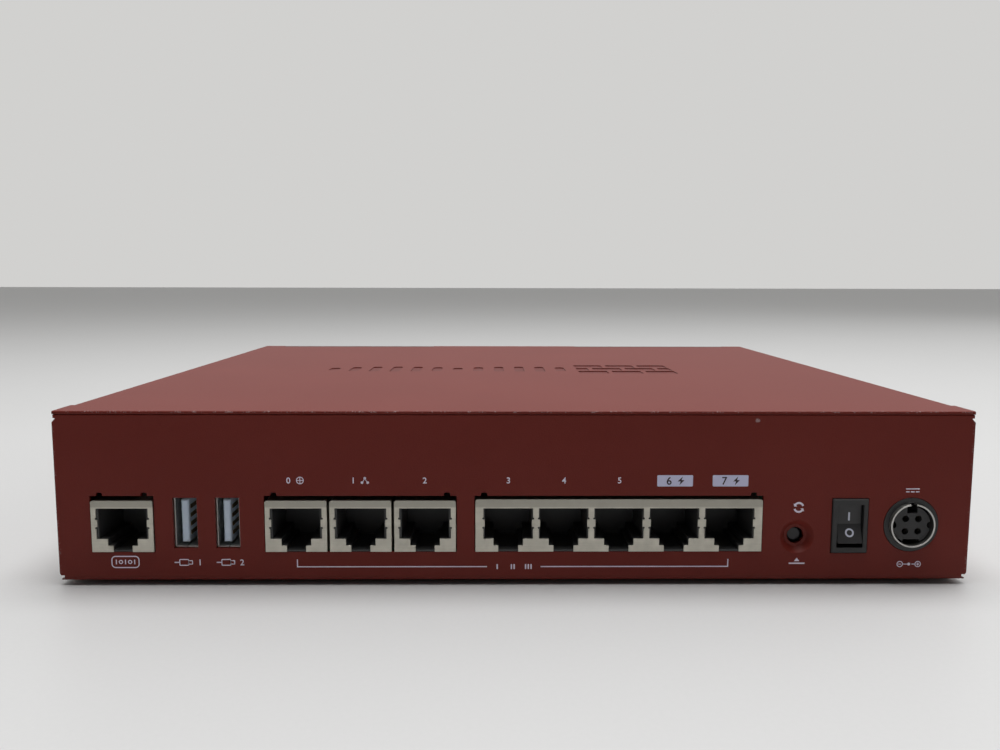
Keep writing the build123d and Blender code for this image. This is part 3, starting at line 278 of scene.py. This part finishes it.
def inkFinish(name, tint, seed):
    # screen print: pigment with fine pores, over the coat's texture
    paint = Paint(name, Metallic=0.0, IOR=1.45)
    pores = paint.grain((0.12,) * 3, detail=2.0, seed=seed)
    thin = tuple(c * 0.55 for c in tint)
    paint.colour(paint.mix(tint, thin, pores.rise(0.58, 0.80)))
    paint.rough(0.48 + pores * 0.15)
    paint.relief(pores, 0.006)
    return paint.material


boardLook = {
    "mask": (0.010, 0.085, 0.040), "track": (0.020, 0.160, 0.075), "shadow": (0.006, 0.05, 0.03),
    "pad": 2.2,                             # spacing of the tracks' pattern, mm
    "tracksPerPad": 6,
    "cloud": 20.0,
}


def boardLaminate(name, seed):
    # solder mask over copper: the tracks show as paler lines around scattered pads
    look = boardLook
    paint = Paint(name, Metallic=0.0, Coat_Weight=0.25)
    settings = {"distance": "MANHATTAN", "feature": "F1"}
    inputs = {"Vector": paint.stretched((look["pad"],) * 3), "Scale": 1.0}
    tracks = paint.node("ShaderNodeTexVoronoi", settings, inputs)
    lines = (tracks.sum("FRACT", tracks * look["tracksPerPad"], 0.0) - 0.5).size().rise(0.30, 0.42)
    cloud = paint.grain((look["cloud"],) * 3, seed=seed)
    shade = paint.mix(look["mask"], look["track"], lines)
    paint.colour(paint.mix(shade, look["shadow"], cloud * 0.6))
    paint.rough(0.32 + lines * 0.1)
    paint.relief(lines, 0.02, edge=0.1)
    return paint.material


def foam(name, tint, roughness, seed, grain=0.5):
    # rubber and soft pads: matte, with a fine pitted skin and rubbed, greyer patches
    paint = Paint(name, Metallic=0.0, IOR=1.5)
    pits = paint.grain((grain,) * 3, detail=3.0, seed=seed)
    rub = paint.grain((4.0, 4.0, 4.0), detail=3.0, seed=seed + 2)
    paint.colour(paint.mix(tint, tuple(c * 2.2 + 0.02 for c in tint), rub.rise(0.45, 0.75) * 0.6))
    paint.rough(roughness + pits * 0.1)
    paint.relief(pits, 0.03, edge=0.3)
    return paint.material


def clearGuide(name):
    # frosted acrylic light guide, unlit
    paint = Paint(name, Metallic=0.0, IOR=1.49, Transmission_Weight=0.35)
    haze = paint.grain((0.3,) * 3, detail=2.0, seed=4.0)
    paint.colour(paint.mix((0.62, 0.66, 0.68), (0.40, 0.44, 0.47), haze))
    paint.rough(0.30 + haze * 0.2)
    paint.relief(haze, 0.01, edge=0.1)
    return paint.material


def fins(name, seed):
    # black anodised aluminium with faint extrusion lines along Y
    paint = Paint(name, Metallic=0.7)
    lines = paint.grain((0.15, 14.0, 0.15), detail=2.0, seed=seed)
    paint.colour(paint.mix((0.035, 0.035, 0.040), (0.080, 0.080, 0.088), lines.rise(0.4, 0.8)))
    paint.rough(0.42 + lines * 0.15)
    paint.relief(lines, 0.01, edge=0.2)
    return paint.material


cream = (0.62, 0.59, 0.51)
finishes = {
    "coatTray": powderCoat("coatTray", 1.0),
    "coatCover": powderCoat("coatCover", 20.0, mark=True),
    # the shields get a painted shade along their top strip from this level up
    "shield": platedSteel("tinShield", cream, 0.36, 3.0, shadeAbove=caseFoot + 19.2),
    "usbShell": platedSteel("nickelShell", (0.62, 0.61, 0.58), 0.30, 6.0, (0.08, 8.0, 0.08)),
    "zinc": platedSteel("zincScrew", (0.50, 0.50, 0.48), 0.34, 9.0, (0.5, 0.5, 0.5)),
    "ring": platedSteel("nickelRing", (0.56, 0.55, 0.52), 0.24, 12.0, (0.4, 0.4, 0.4), edge=0.16),
    "gold": platedSteel("goldWire", (0.72, 0.50, 0.20), 0.28, 15.0, (0.1, 3.0, 0.1)),
    # painted shade: a darkened copy of the gold plating for the USB contacts
    "shadedGold": platedSteel("shadedContact", (0.20, 0.14, 0.07), 0.42, 33.0, (0.1, 3.0, 0.1)),
    # painted shade: a near-black copy of the gold plating for the contacts deep in the power socket
    "deepShadedGold": platedSteel("deepShadedContact", (0.07, 0.055, 0.040), 0.50, 35.0, (0.1, 3.0, 0.1)),
    "black": moulding("blackMoulding", (0.020, 0.0195, 0.020), 0.46, 1.0),
    "housing": moulding("socketMoulding", (0.036, 0.036, 0.036), 0.42, 5.0, grain=0.2),
    "rocker": moulding("rockerMoulding", (0.028, 0.027, 0.028), 0.40, 8.0, grain=0.25, depth=0.010),
    "button": moulding("buttonMoulding", (0.014, 0.014, 0.016), 0.38, 11.0),
    "bezel": moulding("bezelMoulding", (0.020, 0.020, 0.023), 0.50, 14.0, grain=0.22, depth=0.012, edge=0.25),
    "tongue": moulding("tongueMoulding", (0.64, 0.75, 0.95), 0.35, 17.0, cast=1.0),
    "chip": moulding("chipResin", (0.018, 0.018, 0.020), 0.55, 19.0, grain=0.2),
    "ferrite": moulding("ferriteBody", (0.060, 0.060, 0.066), 0.60, 21.0, grain=0.4, depth=0.02),
    "lamp": moulding("lampResin", (0.72, 0.72, 0.62), 0.30, 23.0, cast=1.0),
    "film": moulding("insulatingFilm", (0.030, 0.030, 0.030), 0.35, 25.0),
    "board": boardLaminate("boardLaminate", 2.0),
    "rubber": foam("footRubber", (0.014, 0.014, 0.014), 0.75, 3.0),
    "pad": foam("thermalPad", (0.22, 0.26, 0.34), 0.8, 5.0),
    "guide": clearGuide("lightGuide"),
    "fins": fins("sinkFins", 4.0),
    "plain": platedSteel("plainAluminium", (0.62, 0.62, 0.63), 0.38, 28.0, (0.3, 0.3, 0.3)),
    "ink": inkFinish("panelInk", (0.80, 0.74, 0.86), 1.0),
    "plate": inkFinish("plateInk", (0.62, 0.62, 0.82), 4.0),
    "darkInk": inkFinish("darkInk", (0.035, 0.018, 0.030), 7.0),
    "whiteInk": inkFinish("rockerInk", (0.60, 0.62, 0.72), 9.0),
}

finishOfSlot = {
    "red_powder_coat": "coatTray",
    "bezel_plastic": "bezel",
    "light_guide_plastic": "guide",
    "lamp_resin": "lamp",
    "foot_rubber": "rubber",
    "plated_steel": "zinc",
    "shield_steel": "shield",
    "black_moulding": "black",
    "gold_contact": "gold",
    "usb_moulding": "tongue",
    "board_laminate": "board",
    "chip_resin": "chip",
    "sink_aluminium": "fins",
    "bright_aluminium": "plain",
    "pad_silicone": "pad",
    "film": "film",
    "ferrite": "ferrite",
}
ownFinish = {
    "top_cover": "coatCover",
    "usb_1_shell": "usbShell",
    "usb_2_shell": "usbShell",
    "usb_1_contacts": "shadedGold",
    "usb_2_contacts": "shadedGold",
    "power_socket_contacts": "deepShadedGold",
    "power_socket_ring": "ring",
    "power_rocker": "rocker",
    "reset_button": "button",
}
for part in frame["record"]["subparts"]:
    node = part["node"]
    chosen = ownFinish.get(node, finishOfSlot[part["material_slot"]])
    if node.endswith("_jack_housing"):
        chosen = "housing"
    mesh = nodes[node].data
    mesh.materials.clear()
    mesh.materials.append(finishes[chosen])
print("finishes given to", len(nodes), "nodes")


# flat prints: closed thin solids drawn in mm on a face, u to the right, v up, w out of the face
def ribbon(path, width, depth, closed=False):
    # a stroke: every point of the path gets four corners, half a width to each side and depth apart
    path = np.asarray(path, float)
    ahead = np.roll(path, -1, axis=0) - path
    behind = path - np.roll(path, 1, axis=0)
    if not closed:
        ahead[-1] = behind[-1]
        behind[0] = ahead[0]
    ahead /= np.linalg.norm(ahead, axis=1, keepdims=True)
    behind /= np.linalg.norm(behind, axis=1, keepdims=True)
    along = ahead + behind
    along /= np.linalg.norm(along, axis=1, keepdims=True)
    across = np.stack([-along[:, 1], along[:, 0]], axis=1)
    mitre = 1 / np.maximum(0.4, (across * np.stack([-ahead[:, 1], ahead[:, 0]], axis=1)).sum(axis=1))
    offset = across * (width / 2 * mitre)[:, None]
    rim = np.stack([path + offset, path - offset, path - offset, path + offset], axis=1)
    height = np.tile(np.array([depth, depth, 0.0, 0.0]), (len(path), 1))
    points = np.concatenate([rim, height[:, :, None]], axis=2).reshape(-1, 3)
    count = len(path)
    start = np.arange(count if closed else count - 1)
    step = (start + 1) % count
    k = np.arange(4)
    quads = np.stack(
        [
            start[:, None] * 4 + k,
            start[:, None] * 4 + (k + 1) % 4,
            step[:, None] * 4 + (k + 1) % 4,
            step[:, None] * 4 + k,
        ],
        axis=2,
    ).reshape(-1, 4)
    faces = [tuple(q) for q in quads.tolist()]
    if not closed:
        last = (count - 1) * 4
        faces += [(3, 2, 1, 0), (last, last + 1, last + 2, last + 3)]
    return points, faces


def slab(outline, depth):
    # a filled shape: the outline at w = depth and again at 0, joined by a wall
    outline = np.asarray(outline, float)
    count = len(outline)
    top = np.column_stack([outline, np.full(count, depth)])
    foot = np.column_stack([outline, np.zeros(count)])
    i = np.arange(count)
    j = (i + 1) % count
    walls = np.stack([i, i + count, j + count, j], axis=1).tolist()
    faces = [tuple(i.tolist()), tuple((i[::-1] + count).tolist())] + [tuple(w) for w in walls]
    return np.vstack([top, foot]), faces


def arc(centre, radius, fromDeg, toDeg, count=24):
    # points on a circle from one angle to the other
    angle = np.radians(np.linspace(fromDeg, toDeg, count))
    return np.column_stack([centre[0] + radius * np.cos(angle), centre[1] + radius * np.sin(angle)])


def roundBox(u0, v0, u1, v1, radius, count=5):
    # four quarter circles, one at each corner of the box
    left, right, foot, top = u0 + radius, u1 - radius, v0 + radius, v1 - radius
    corners = ((right, top), (left, top), (left, foot), (right, foot))
    return np.vstack([arc(c, radius, 90 * k, 90 * k + 90, count) for k, c in enumerate(corners)])


def digit(sign, centre, height, depth):
    # one figure from the built-in font, laid flat with its middle at centre
    curve = bpy.data.curves.new("figure", "FONT")
    curve.body = sign
    curve.size = height / 0.70
    curve.extrude = depth / 2
    curve.offset = height * 0.018
    curve.align_x = "CENTER"
    curve.resolution_u = 4
    letter = bpy.data.objects.new("figure", curve)
    bpy.context.scene.collection.objects.link(letter)
    bpy.context.view_layer.update()
    mesh = bpy.data.meshes.new_from_object(letter.evaluated_get(bpy.context.evaluated_depsgraph_get()))
    bpy.data.objects.remove(letter)
    points = np.zeros(len(mesh.vertices) * 3)
    mesh.vertices.foreach_get("co", points)
    points = points.reshape(-1, 3)
    middleOf = (points.min(axis=0) + points.max(axis=0)) / 2
    points = points - middleOf + np.array([centre[0], centre[1], depth / 2])
    return points, [tuple(p.vertices) for p in mesh.polygons]


def joined(shapes):
    points, faces, count = [], [], 0
    for shapePoints, shapeFaces in shapes:
        points.append(shapePoints)
        faces += [tuple(v + count for v in face) for face in shapeFaces]
        count += len(shapePoints)
    return np.vstack(points), faces


def addPiece(name, points, faces, finish, body, slot):
    mesh = bpy.data.meshes.new(name)
    mesh.from_pydata((np.asarray(points) * mm).tolist(), [], faces)
    mesh.validate()
    mesh.update()
    mesh.materials.append(finishes[finish])
    mesh.polygons.foreach_set("use_smooth", [False] * len(mesh.polygons))
    piece = bpy.data.objects.new(name, mesh)
    bpy.context.scene.collection.objects.link(piece)
    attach(piece, body)
    return piece


def onPanel(shapes, lift=0.0):
    # (u, v, w) on the socket panel: u along X, v up from the case's underside, w towards the viewer
    points, faces = joined(shapes)
    return np.column_stack([points[:, 0], portFace - lift - points[:, 2], caseFoot + points[:, 1]]), faces


def onBezel(shapes, lift=0.0):
    # seen from the front, so u runs along -X
    points, faces = joined(shapes)
    return np.column_stack([-points[:, 0], frontFace + lift + points[:, 2], caseFoot + points[:, 1]]), faces


printLook = {
    "depth": 0.025,                         # thickness of the ink, mm
    "line": 0.26,                           # width of a stroke, mm
    "figure": 1.5,                          # height of a figure, mm
    "numberRow": 25.95,                     # level of the port numbers
    "signRow": 4.85,                        # level of the signs under the sockets
}


def stroke(path, share=1.0, closed=False, thicker=1.0):
    # a line of the print's width times share
    return ribbon(path, printLook["line"] * share, printLook["depth"] * thicker, closed=closed)


def spot(outline):
    return slab(outline, printLook["depth"])


def figure(sign, u, v, share=1.0):
    return digit(sign, (u, v), printLook["figure"] * share, printLook["depth"])


dataPrintLook = {
    "gangPitch": 13.97,
    "numberShift": -1.7,                    # of the figures 0 and 1, to make room for their signs
    "globe": 1.2, "globeRadius": 0.85, "globeArm": 0.75,
    "dots": ((1.2, 0.55), (0.5, -0.55), (1.9, -0.55)), "dotRadius": 0.34,
    "joints": ((0.6, -0.5), (1.2, 0.5), (1.8, -0.5)),
    "ringLine": 0.8, "armLine": 0.7,
}


def dataPorts():
    # middles of the three single and the five joined data sockets along X
    lan = [middle(f"lan_{i}_jack_shield")[0] for i in range(3)]
    low, high = span("gang_jack_shield")
    pitch = dataPrintLook["gangPitch"]
    return lan, [(low[0] + high[0]) / 2 + pitch * (i - 2) for i in range(5)]


def dataPrint(lan, gang):
    # 0: outside network, a globe; 1: inside network, three joined dots; plain figures over the others
    look = dataPrintLook
    row = printLook["numberRow"]
    u, arm = lan[0] + look["globe"], look["globeArm"]
    shapes = [
        figure("0", lan[0] + look["numberShift"], row),
        stroke(arc((u, row), look["globeRadius"], 0, 345), look["ringLine"], closed=True),
        stroke([(u - arm, row), (u + arm, row)], look["armLine"]),
        stroke([(u, row - arm), (u, row + arm)], look["armLine"]),
        figure("1", lan[1] + look["numberShift"], row),
    ]
    for du, dv in look["dots"]:
        shapes.append(spot(arc((lan[1] + du, row + dv), look["dotRadius"], 0, 330, 12)))
    shapes.append(stroke([(lan[1] + du, row + dv) for du, dv in look["joints"]], look["armLine"]))
    shapes.append(figure("2", lan[2], row))
    return shapes + [figure(str(k + 3), u, row) for k, u in enumerate(gang[:3])]


bracketLook = {
    "row": 3.66, "tick": 5.6,               # levels of the line and of the tops of its ends
    "endShift": (0.1, -0.05),
    "gapShift": 0.2, "gapHalf": 6.8,
    "groups": 3, "firstGroup": -4.4, "groupPitch": 3.6,
    "barPitch": 0.7, "barWidth": 0.36, "barHalf": 0.65, "barCorner": 0.1,
}


def bracketPrint(lan, gang):
    # bracket under the data sockets, with rising groups of bars where its line is broken
    look = bracketLook
    left, right = lan[0] + look["endShift"][0], gang[4] + look["endShift"][1]
    gap = (lan[0] + gang[4]) / 2 + look["gapShift"]
    level, tick, half = look["row"], look["tick"], look["barHalf"]
    shapes = [
        stroke([(left, tick), (left, level), (gap - look["gapHalf"], level)]),
        stroke([(gap + look["gapHalf"], level), (right, level), (right, tick)]),
    ]
    for group in range(look["groups"]):
        for i in range(group + 1):
            u = gap + look["firstGroup"] + group * look["groupPitch"] + i * look["barPitch"]
            box = roundBox(u, level - half, u + look["barWidth"], level + half, look["barCorner"], 3)
            shapes.append(spot(box))
    return shapes


consoleLook = {
    "shift": 0.3, "rise": 0.13,
    "frame": (3.4, 1.45), "corner": 0.9,
    "signs": 5, "first": -2.3, "pitch": 1.15,
    "ringRadius": 0.42, "ringLine": 0.9, "barHalf": 0.6,
}


def consolePrint():
    # a framed row of bars and rings
    look = consoleLook
    centre = middle("console_jack_shield")[0] + look["shift"]
    row = printLook["signRow"] + look["rise"]
    half, rise = look["frame"]
    frameBox = roundBox(centre - half, row - rise, centre + half, row + rise, look["corner"])
    shapes = [stroke(frameBox, closed=True)]
    for i in range(look["signs"]):
        u = centre + look["first"] + i * look["pitch"]
        if i % 2:
            ring = arc((u, row), look["ringRadius"], 0, 345, 16)
            shapes.append(stroke(ring, look["ringLine"], closed=True))
        else:
            shapes.append(stroke([(u, row - look["barHalf"]), (u, row + look["barHalf"])]))
    return shapes


usbLook = {
    "shift": -0.4,
    "grip": (-1.3, 0.9), "gripHalf": 0.75, "gripCorner": 0.15, "gripLine": 0.9,
    "tip": (0.9, 1.9), "tipHalf": 0.45, "tipCorner": 0.1, "tipLine": 0.8,
    "tail": (-2.6, -1.3),
    "figure": 3.8,
}


def usbPrint():
    # a plain plug outline and the socket's number
    look = usbLook
    row = printLook["signRow"]
    shapes = []
    for i in (1, 2):
        u = middle(f"usb_{i}_shell")[0] + look["shift"]
        for part in ("grip", "tip"):
            start, end = look[part]
            half = look[part + "Half"]
            box = roundBox(u + start, row - half, u + end, row + half, look[part + "Corner"], 3)
            shapes.append(stroke(box, look[part + "Line"], closed=True))
        shapes.append(stroke([(u + look["tail"][0], row), (u + look["tail"][1], row)]))
        shapes.append(figure(str(i), u + look["figure"], row))
    return shapes


resetLook = {
    "shift": 0.15, "row": 18.98,
    "radius": 1.15, "starts": (20, 200), "sweep": 125, "line": 1.9,
    "headAt": 122, "tipAt": 150, "headRadii": (1.75, 0.50),
    "barRow": 4.45, "barHalf": 2.0, "barLine": 1.3,
    "wedge": (5.0, 5.9), "wedgeHalf": 0.7,
}


def resetPrint():
    # two arrows chasing each other above the button, a bar with a wedge on it below
    look = resetLook
    u, v = middle("reset_button")[0] + look["shift"], look["row"]
    shapes = []
    for start in look["starts"]:
        shapes.append(stroke(arc((u, v), look["radius"], start, start + look["sweep"], 14), look["line"]))
        base, tip = math.radians(start + look["headAt"]), math.radians(start + look["tipAt"])
        outer, inner = [(u + r * math.cos(base), v + r * math.sin(base)) for r in look["headRadii"]]
        point = (u + look["radius"] * math.cos(tip), v + look["radius"] * math.sin(tip))
        shapes.append(spot([outer, point, inner]))
    row, half = look["barRow"], look["barHalf"]
    shapes.append(stroke([(u - half, row), (u + half, row)], look["barLine"]))
    (foot, top), half = look["wedge"], look["wedgeHalf"]
    return shapes + [spot([(u - half, foot), (u + half, foot), (u, top)])]


powerLook = {
    "solidRow": 23.75, "solidHalf": 1.7,
    "dashRow": 23.0, "dashPitch": 1.25, "dashHalf": 0.45,
    "poleRow": 4.2, "polePlace": 2.3, "poleRadius": 0.7,
    "armHalf": 0.38, "dotRadius": 0.38, "linkEnd": 1.6, "linkGap": 0.7,
    "line": 0.8, "armDepth": 1.2,
}


def powerPrint():
    # direct current sign above the socket, polarity sign below it
    look = powerLook
    u = middle("power_socket_body")[0]
    half, row = look["solidHalf"], look["solidRow"]
    shapes = [stroke([(u - half, row), (u + half, row)])]
    half, row = look["dashHalf"], look["dashRow"]
    for k in (-1, 0, 1):
        middleOf = u + k * look["dashPitch"]
        shapes.append(stroke([(middleOf - half, row), (middleOf + half, row)]))
    row, arm, thin = look["poleRow"], look["armHalf"], look["line"]
    for pole in (u - look["polePlace"], u + look["polePlace"]):
        shapes.append(stroke(arc((pole, row), look["poleRadius"], 0, 345), thin, closed=True))
        shapes.append(stroke([(pole - arm, row), (pole + arm, row)], thin))
    pole = u + look["polePlace"]
    shapes.append(stroke([(pole, row - arm), (pole, row + arm)], thin, thicker=look["armDepth"]))
    shapes.append(spot(arc((u, row), look["dotRadius"], 0, 340, 16)))
    shapes.append(stroke([(u - look["linkEnd"], row), (u - look["dotRadius"], row)], thin))
    shapes.append(stroke([(u + look["linkGap"], row), (u + look["linkEnd"], row)], thin))
    return shapes


plateLook = {
    "half": (4.5, 1.45), "corner": 0.25, "drop": 0.11,
    "figureShift": -1.5, "figureShare": 1.3,
    "boltShift": 1.5,
    "bolt": ((0.40, 1.1), (-0.85, -0.15), (-0.12, -0.15), (-0.40, -1.1), (0.85, 0.2), (0.12, 0.2)),
}


def powerPlates(gang):
    # the two powered ports: pale plates with a dark figure and a bolt
    look = plateLook
    plates, signs = [], []
    half, rise = look["half"]
    row = printLook["numberRow"] - look["drop"]
    for k, u in ((6, gang[3]), (7, gang[4])):
        plates.append(spot(roundBox(u - half, row - rise, u + half, row + rise, look["corner"], 3)))
        signs.append(figure(str(k), u + look["figureShift"], row, look["figureShare"]))
        signs.append(spot(np.array(look["bolt"]) + np.array([u + look["boltShift"], row])))
    addPiece("powerPlates", *onPanel(plates), "plate", "case", "red_powder_coat")
    signPoints, signFaces = onPanel(signs, lift=printLook["depth"])
    addPiece("powerPlateSigns", signPoints, signFaces, "darkInk", "case", "red_powder_coat")


def panelPrint():
    lan, gang = dataPorts()
    shapes = dataPrint(lan, gang) + bracketPrint(lan, gang) + consolePrint() + usbPrint()
    shapes += resetPrint() + powerPrint()
    addPiece("panelPrint", *onPanel(shapes), "ink", "case", "red_powder_coat")
    powerPlates(gang)


rockerLook = {
    "throwDeg": 18.0,
    "pivotDepth": 3.0,
    "level": 14.2,
    "crease": 2.4,                         # from the pivot to the line between the two halves
    "barFoot": 0.85, "barTop": 3.0, "barWidth": 0.46,
    "ringPlace": 2.27, "ringRadius": 0.9, "ringLine": 0.42,
    "depth": 0.03,
}


def rockerMarks():
    # at rest the upper half is pressed flat and the lower half leans out by the whole throw
    look = rockerLook
    throw = math.radians(look["throwDeg"])
    centre = middle("power_rocker")[0]
    pivotY, pivotZ = portFace + look["pivotDepth"], caseFoot + look["level"]
    creaseY = pivotY - look["crease"] * math.cos(throw / 2)
    creaseZ = pivotZ + look["crease"] * math.sin(throw / 2)
    bar = ribbon([(0.0, look["barFoot"]), (0.0, look["barTop"])], look["barWidth"], look["depth"])
    ringPath = arc((0.0, -look["ringPlace"]), look["ringRadius"], 0, 350, 36)
    ring = ribbon(ringPath, look["ringLine"], look["depth"], closed=True)
    placed = []
    for (points, faces), lean in ((bar, 0.0), (ring, throw)):
        # v runs up the half's surface from the crease, w out of it, and the half leans by an angle:
        # y = creaseY + v sin(lean) - w cos(lean), z = creaseZ + v cos(lean) + w sin(lean)
        v, w = points[:, 1], points[:, 2]
        y = creaseY + v * math.sin(lean) - w * math.cos(lean)
        z = creaseZ + v * math.cos(lean) + w * math.sin(lean)
        placed.append((np.column_stack([points[:, 0] + centre, y, z]), faces))
    points, faces = joined(placed)
    addPiece("rockerMarks", points, faces, "whiteInk", "rocker", "black_moulding")


bezelLook = {
    "pitch": 9.0, "groupGap": 14.0, "lampWidth": 3.8,
    "statusLamps": 4, "lamps": 12,
    "rise": 3.0, "figure": 1.6,
    "powerRadius": 0.8, "powerStem": 1.0,
    "heart": ((0.8, 0.7), (0.8, -0.1), (0.0, -0.9), (-0.8, -0.1), (-0.8, 0.7)),
    "wedge": ((0.8, -0.7), (0.0, 0.8), (-0.8, -0.7)),
    "bars": 3, "barPitch": 0.8, "barFoot": -0.7, "barTop": -0.1, "barStep": 0.4,
}


def bezelPrint():
    # figures 0 to 7 over the port lamps and plain signs over the four status lamps
    look = bezelLook
    low, high = span("light_guide")
    v = (low[2] + high[2]) / 2 - caseFoot + look["rise"]
    first = high[0] - look["lampWidth"] / 2
    shapes = []
    for i in range(look["lamps"]):
        u = -(first - i * look["pitch"] - (look["groupGap"] if i >= look["statusLamps"] else 0))
        place = np.array([u, v])
        if i >= look["statusLamps"]:
            sign = str(i - look["statusLamps"])
            shapes.append(digit(sign, (u, v), look["figure"], printLook["depth"]))
        elif i == 0:
            shapes.append(stroke(arc(place, look["powerRadius"], 120, 420)))
            shapes.append(stroke([(u, v), (u, v + look["powerStem"])]))
        elif i == 1:
            shapes.append(spot(np.array(look["heart"]) + place))
        elif i == 2:
            shapes.append(spot(np.array(look["wedge"]) + place))
        else:
            for k in range(look["bars"]):
                bar = u + (k - 1) * look["barPitch"]
                top = v + look["barTop"] + k * look["barStep"]
                shapes.append(stroke([(bar, v + look["barFoot"]), (bar, top)]))
    addPiece("bezelPrint", *onBezel(shapes), "ink", "case", "bezel_plastic")


panelPrint()
rockerMarks()
bezelPrint()
print("prints added")


# floor, light and camera
stageLook = {
    "floor": (0.60, 0.60, 0.60),
    "speckle": 1.2, "cloud": 160.0,         # grain of the floor's faint variation, mm
    "dim": 0.93,
    "reach": 6.0,                           # half the floor's width, m
    "sky": (0.80, 0.795, 0.78),
    "skyFront": 0.09, "skyBack": 0.80,
    "skyBlend": (-0.45, 0.55),
}


def floorFinish():
    look = stageLook
    paint = Paint("paleFloor", Metallic=0.0)
    speckle = paint.grain((look["speckle"],) * 3, detail=3.0)
    cloud = paint.grain((look["cloud"],) * 3, detail=2.0)
    dim = tuple(c * look["dim"] for c in look["floor"])
    paint.colour(paint.mix(look["floor"], dim, speckle * 0.4 + cloud * 0.4))
    paint.rough(0.42 + speckle * 0.1)
    return paint.material


def studio():
    look = stageLook
    reach = look["reach"]
    corners = [(-reach, -reach, 0), (reach, -reach, 0), (reach, reach, 0), (-reach, reach, 0)]
    mesh = bpy.data.meshes.new("floor")
    mesh.from_pydata(corners, [], [(0, 1, 2, 3)])
    mesh.materials.append(floorFinish())
    floor = bpy.data.objects.new("floor", mesh)
    bpy.context.scene.collection.objects.link(floor)
    # soft sky, bright on the bezel's side and dim on the socket side
    world = bpy.data.worlds.new("studio")
    bpy.context.scene.world = world
    world.use_nodes = True
    tree = world.node_tree
    sky = tree.nodes["Background"]
    sky.inputs[0].default_value = (*look["sky"], 1)
    toward = tree.nodes.new("ShaderNodeTexCoord")
    parts = tree.nodes.new("ShaderNodeSeparateXYZ")
    blendOver = tree.nodes.new("ShaderNodeMapRange")
    blendOver.interpolation_type = "SMOOTHSTEP"
    limits = (*look["skyBlend"], look["skyFront"], look["skyBack"])
    for socket, value in zip(blendOver.inputs[1:5], limits):
        socket.default_value = value
    tree.links.new(toward.outputs["Generated"], parts.inputs[0])
    tree.links.new(parts.outputs["Y"], blendOver.inputs[0])
    tree.links.new(blendOver.outputs[0], sky.inputs[1])


lamps = {   # places, aims and sizes in m
    "overhead": {
        "place": (0.05, -0.04, 1.2), "aim": (0.0, 0.0, 0.0),
        "size": 0.9, "power": 15.0, "tint": (1.0, 1.0, 1.0),
    },
    "window": {
        "place": (1.3, 0.5, 0.75), "aim": (0.0, 0.0, 0.0),
        "size": 1.0, "power": 4.4, "tint": (1.0, 1.0, 1.0),
    },
    "fill": {
        "place": (-0.2, -1.2, 0.6), "aim": (0.0, -0.1, 0.0),
        "size": 0.9, "power": 0.15, "tint": (0.80, 0.88, 1.0),
    },
}


def lights():
    for name, look in lamps.items():
        lamp = bpy.data.lights.new(name, "AREA")
        lamp.shape = "DISK"
        lamp.size = look["size"]
        lamp.energy = look["power"]
        lamp.color = look["tint"]
        place = Vector(look["place"])
        turn = (place - Vector(look["aim"])).to_track_quat("Z", "Y").to_matrix().to_4x4()
        item = bpy.data.objects.new(name, lamp)
        item.matrix_world = Matrix.Translation(place) @ turn
        bpy.context.scene.collection.objects.link(item)


cameraLook = {
    "fromPanel": 214.0, "sideways": -6.3, "aboveCase": 76.6,   # mm
    "yaw": -0.60, "down": 6.41, "roll": 0.13,                 # degrees
    "lens": 31.34,
}


def camera():
    look = cameraLook
    lens = bpy.data.cameras.new("camera")
    lens.lens = look["lens"]
    lens.sensor_width = 36.0
    lens.clip_start = 0.01      # m
    item = bpy.data.objects.new("camera", lens)
    place = Vector((look["sideways"], portFace - look["fromPanel"], caseFoot + look["aboveCase"])) * mm
    turn = (
        Matrix.Rotation(math.radians(look["yaw"]), 4, "Z")
        @ Matrix.Rotation(math.radians(90 - look["down"]), 4, "X")
        @ Matrix.Rotation(math.radians(look["roll"]), 4, "Z")
    )
    item.matrix_world = Matrix.Translation(place) @ turn
    bpy.context.scene.collection.objects.link(item)
    bpy.context.scene.camera = item


studio()
lights()
camera()
bpy.context.scene.view_settings.view_transform = "Standard"
print("studio ready")
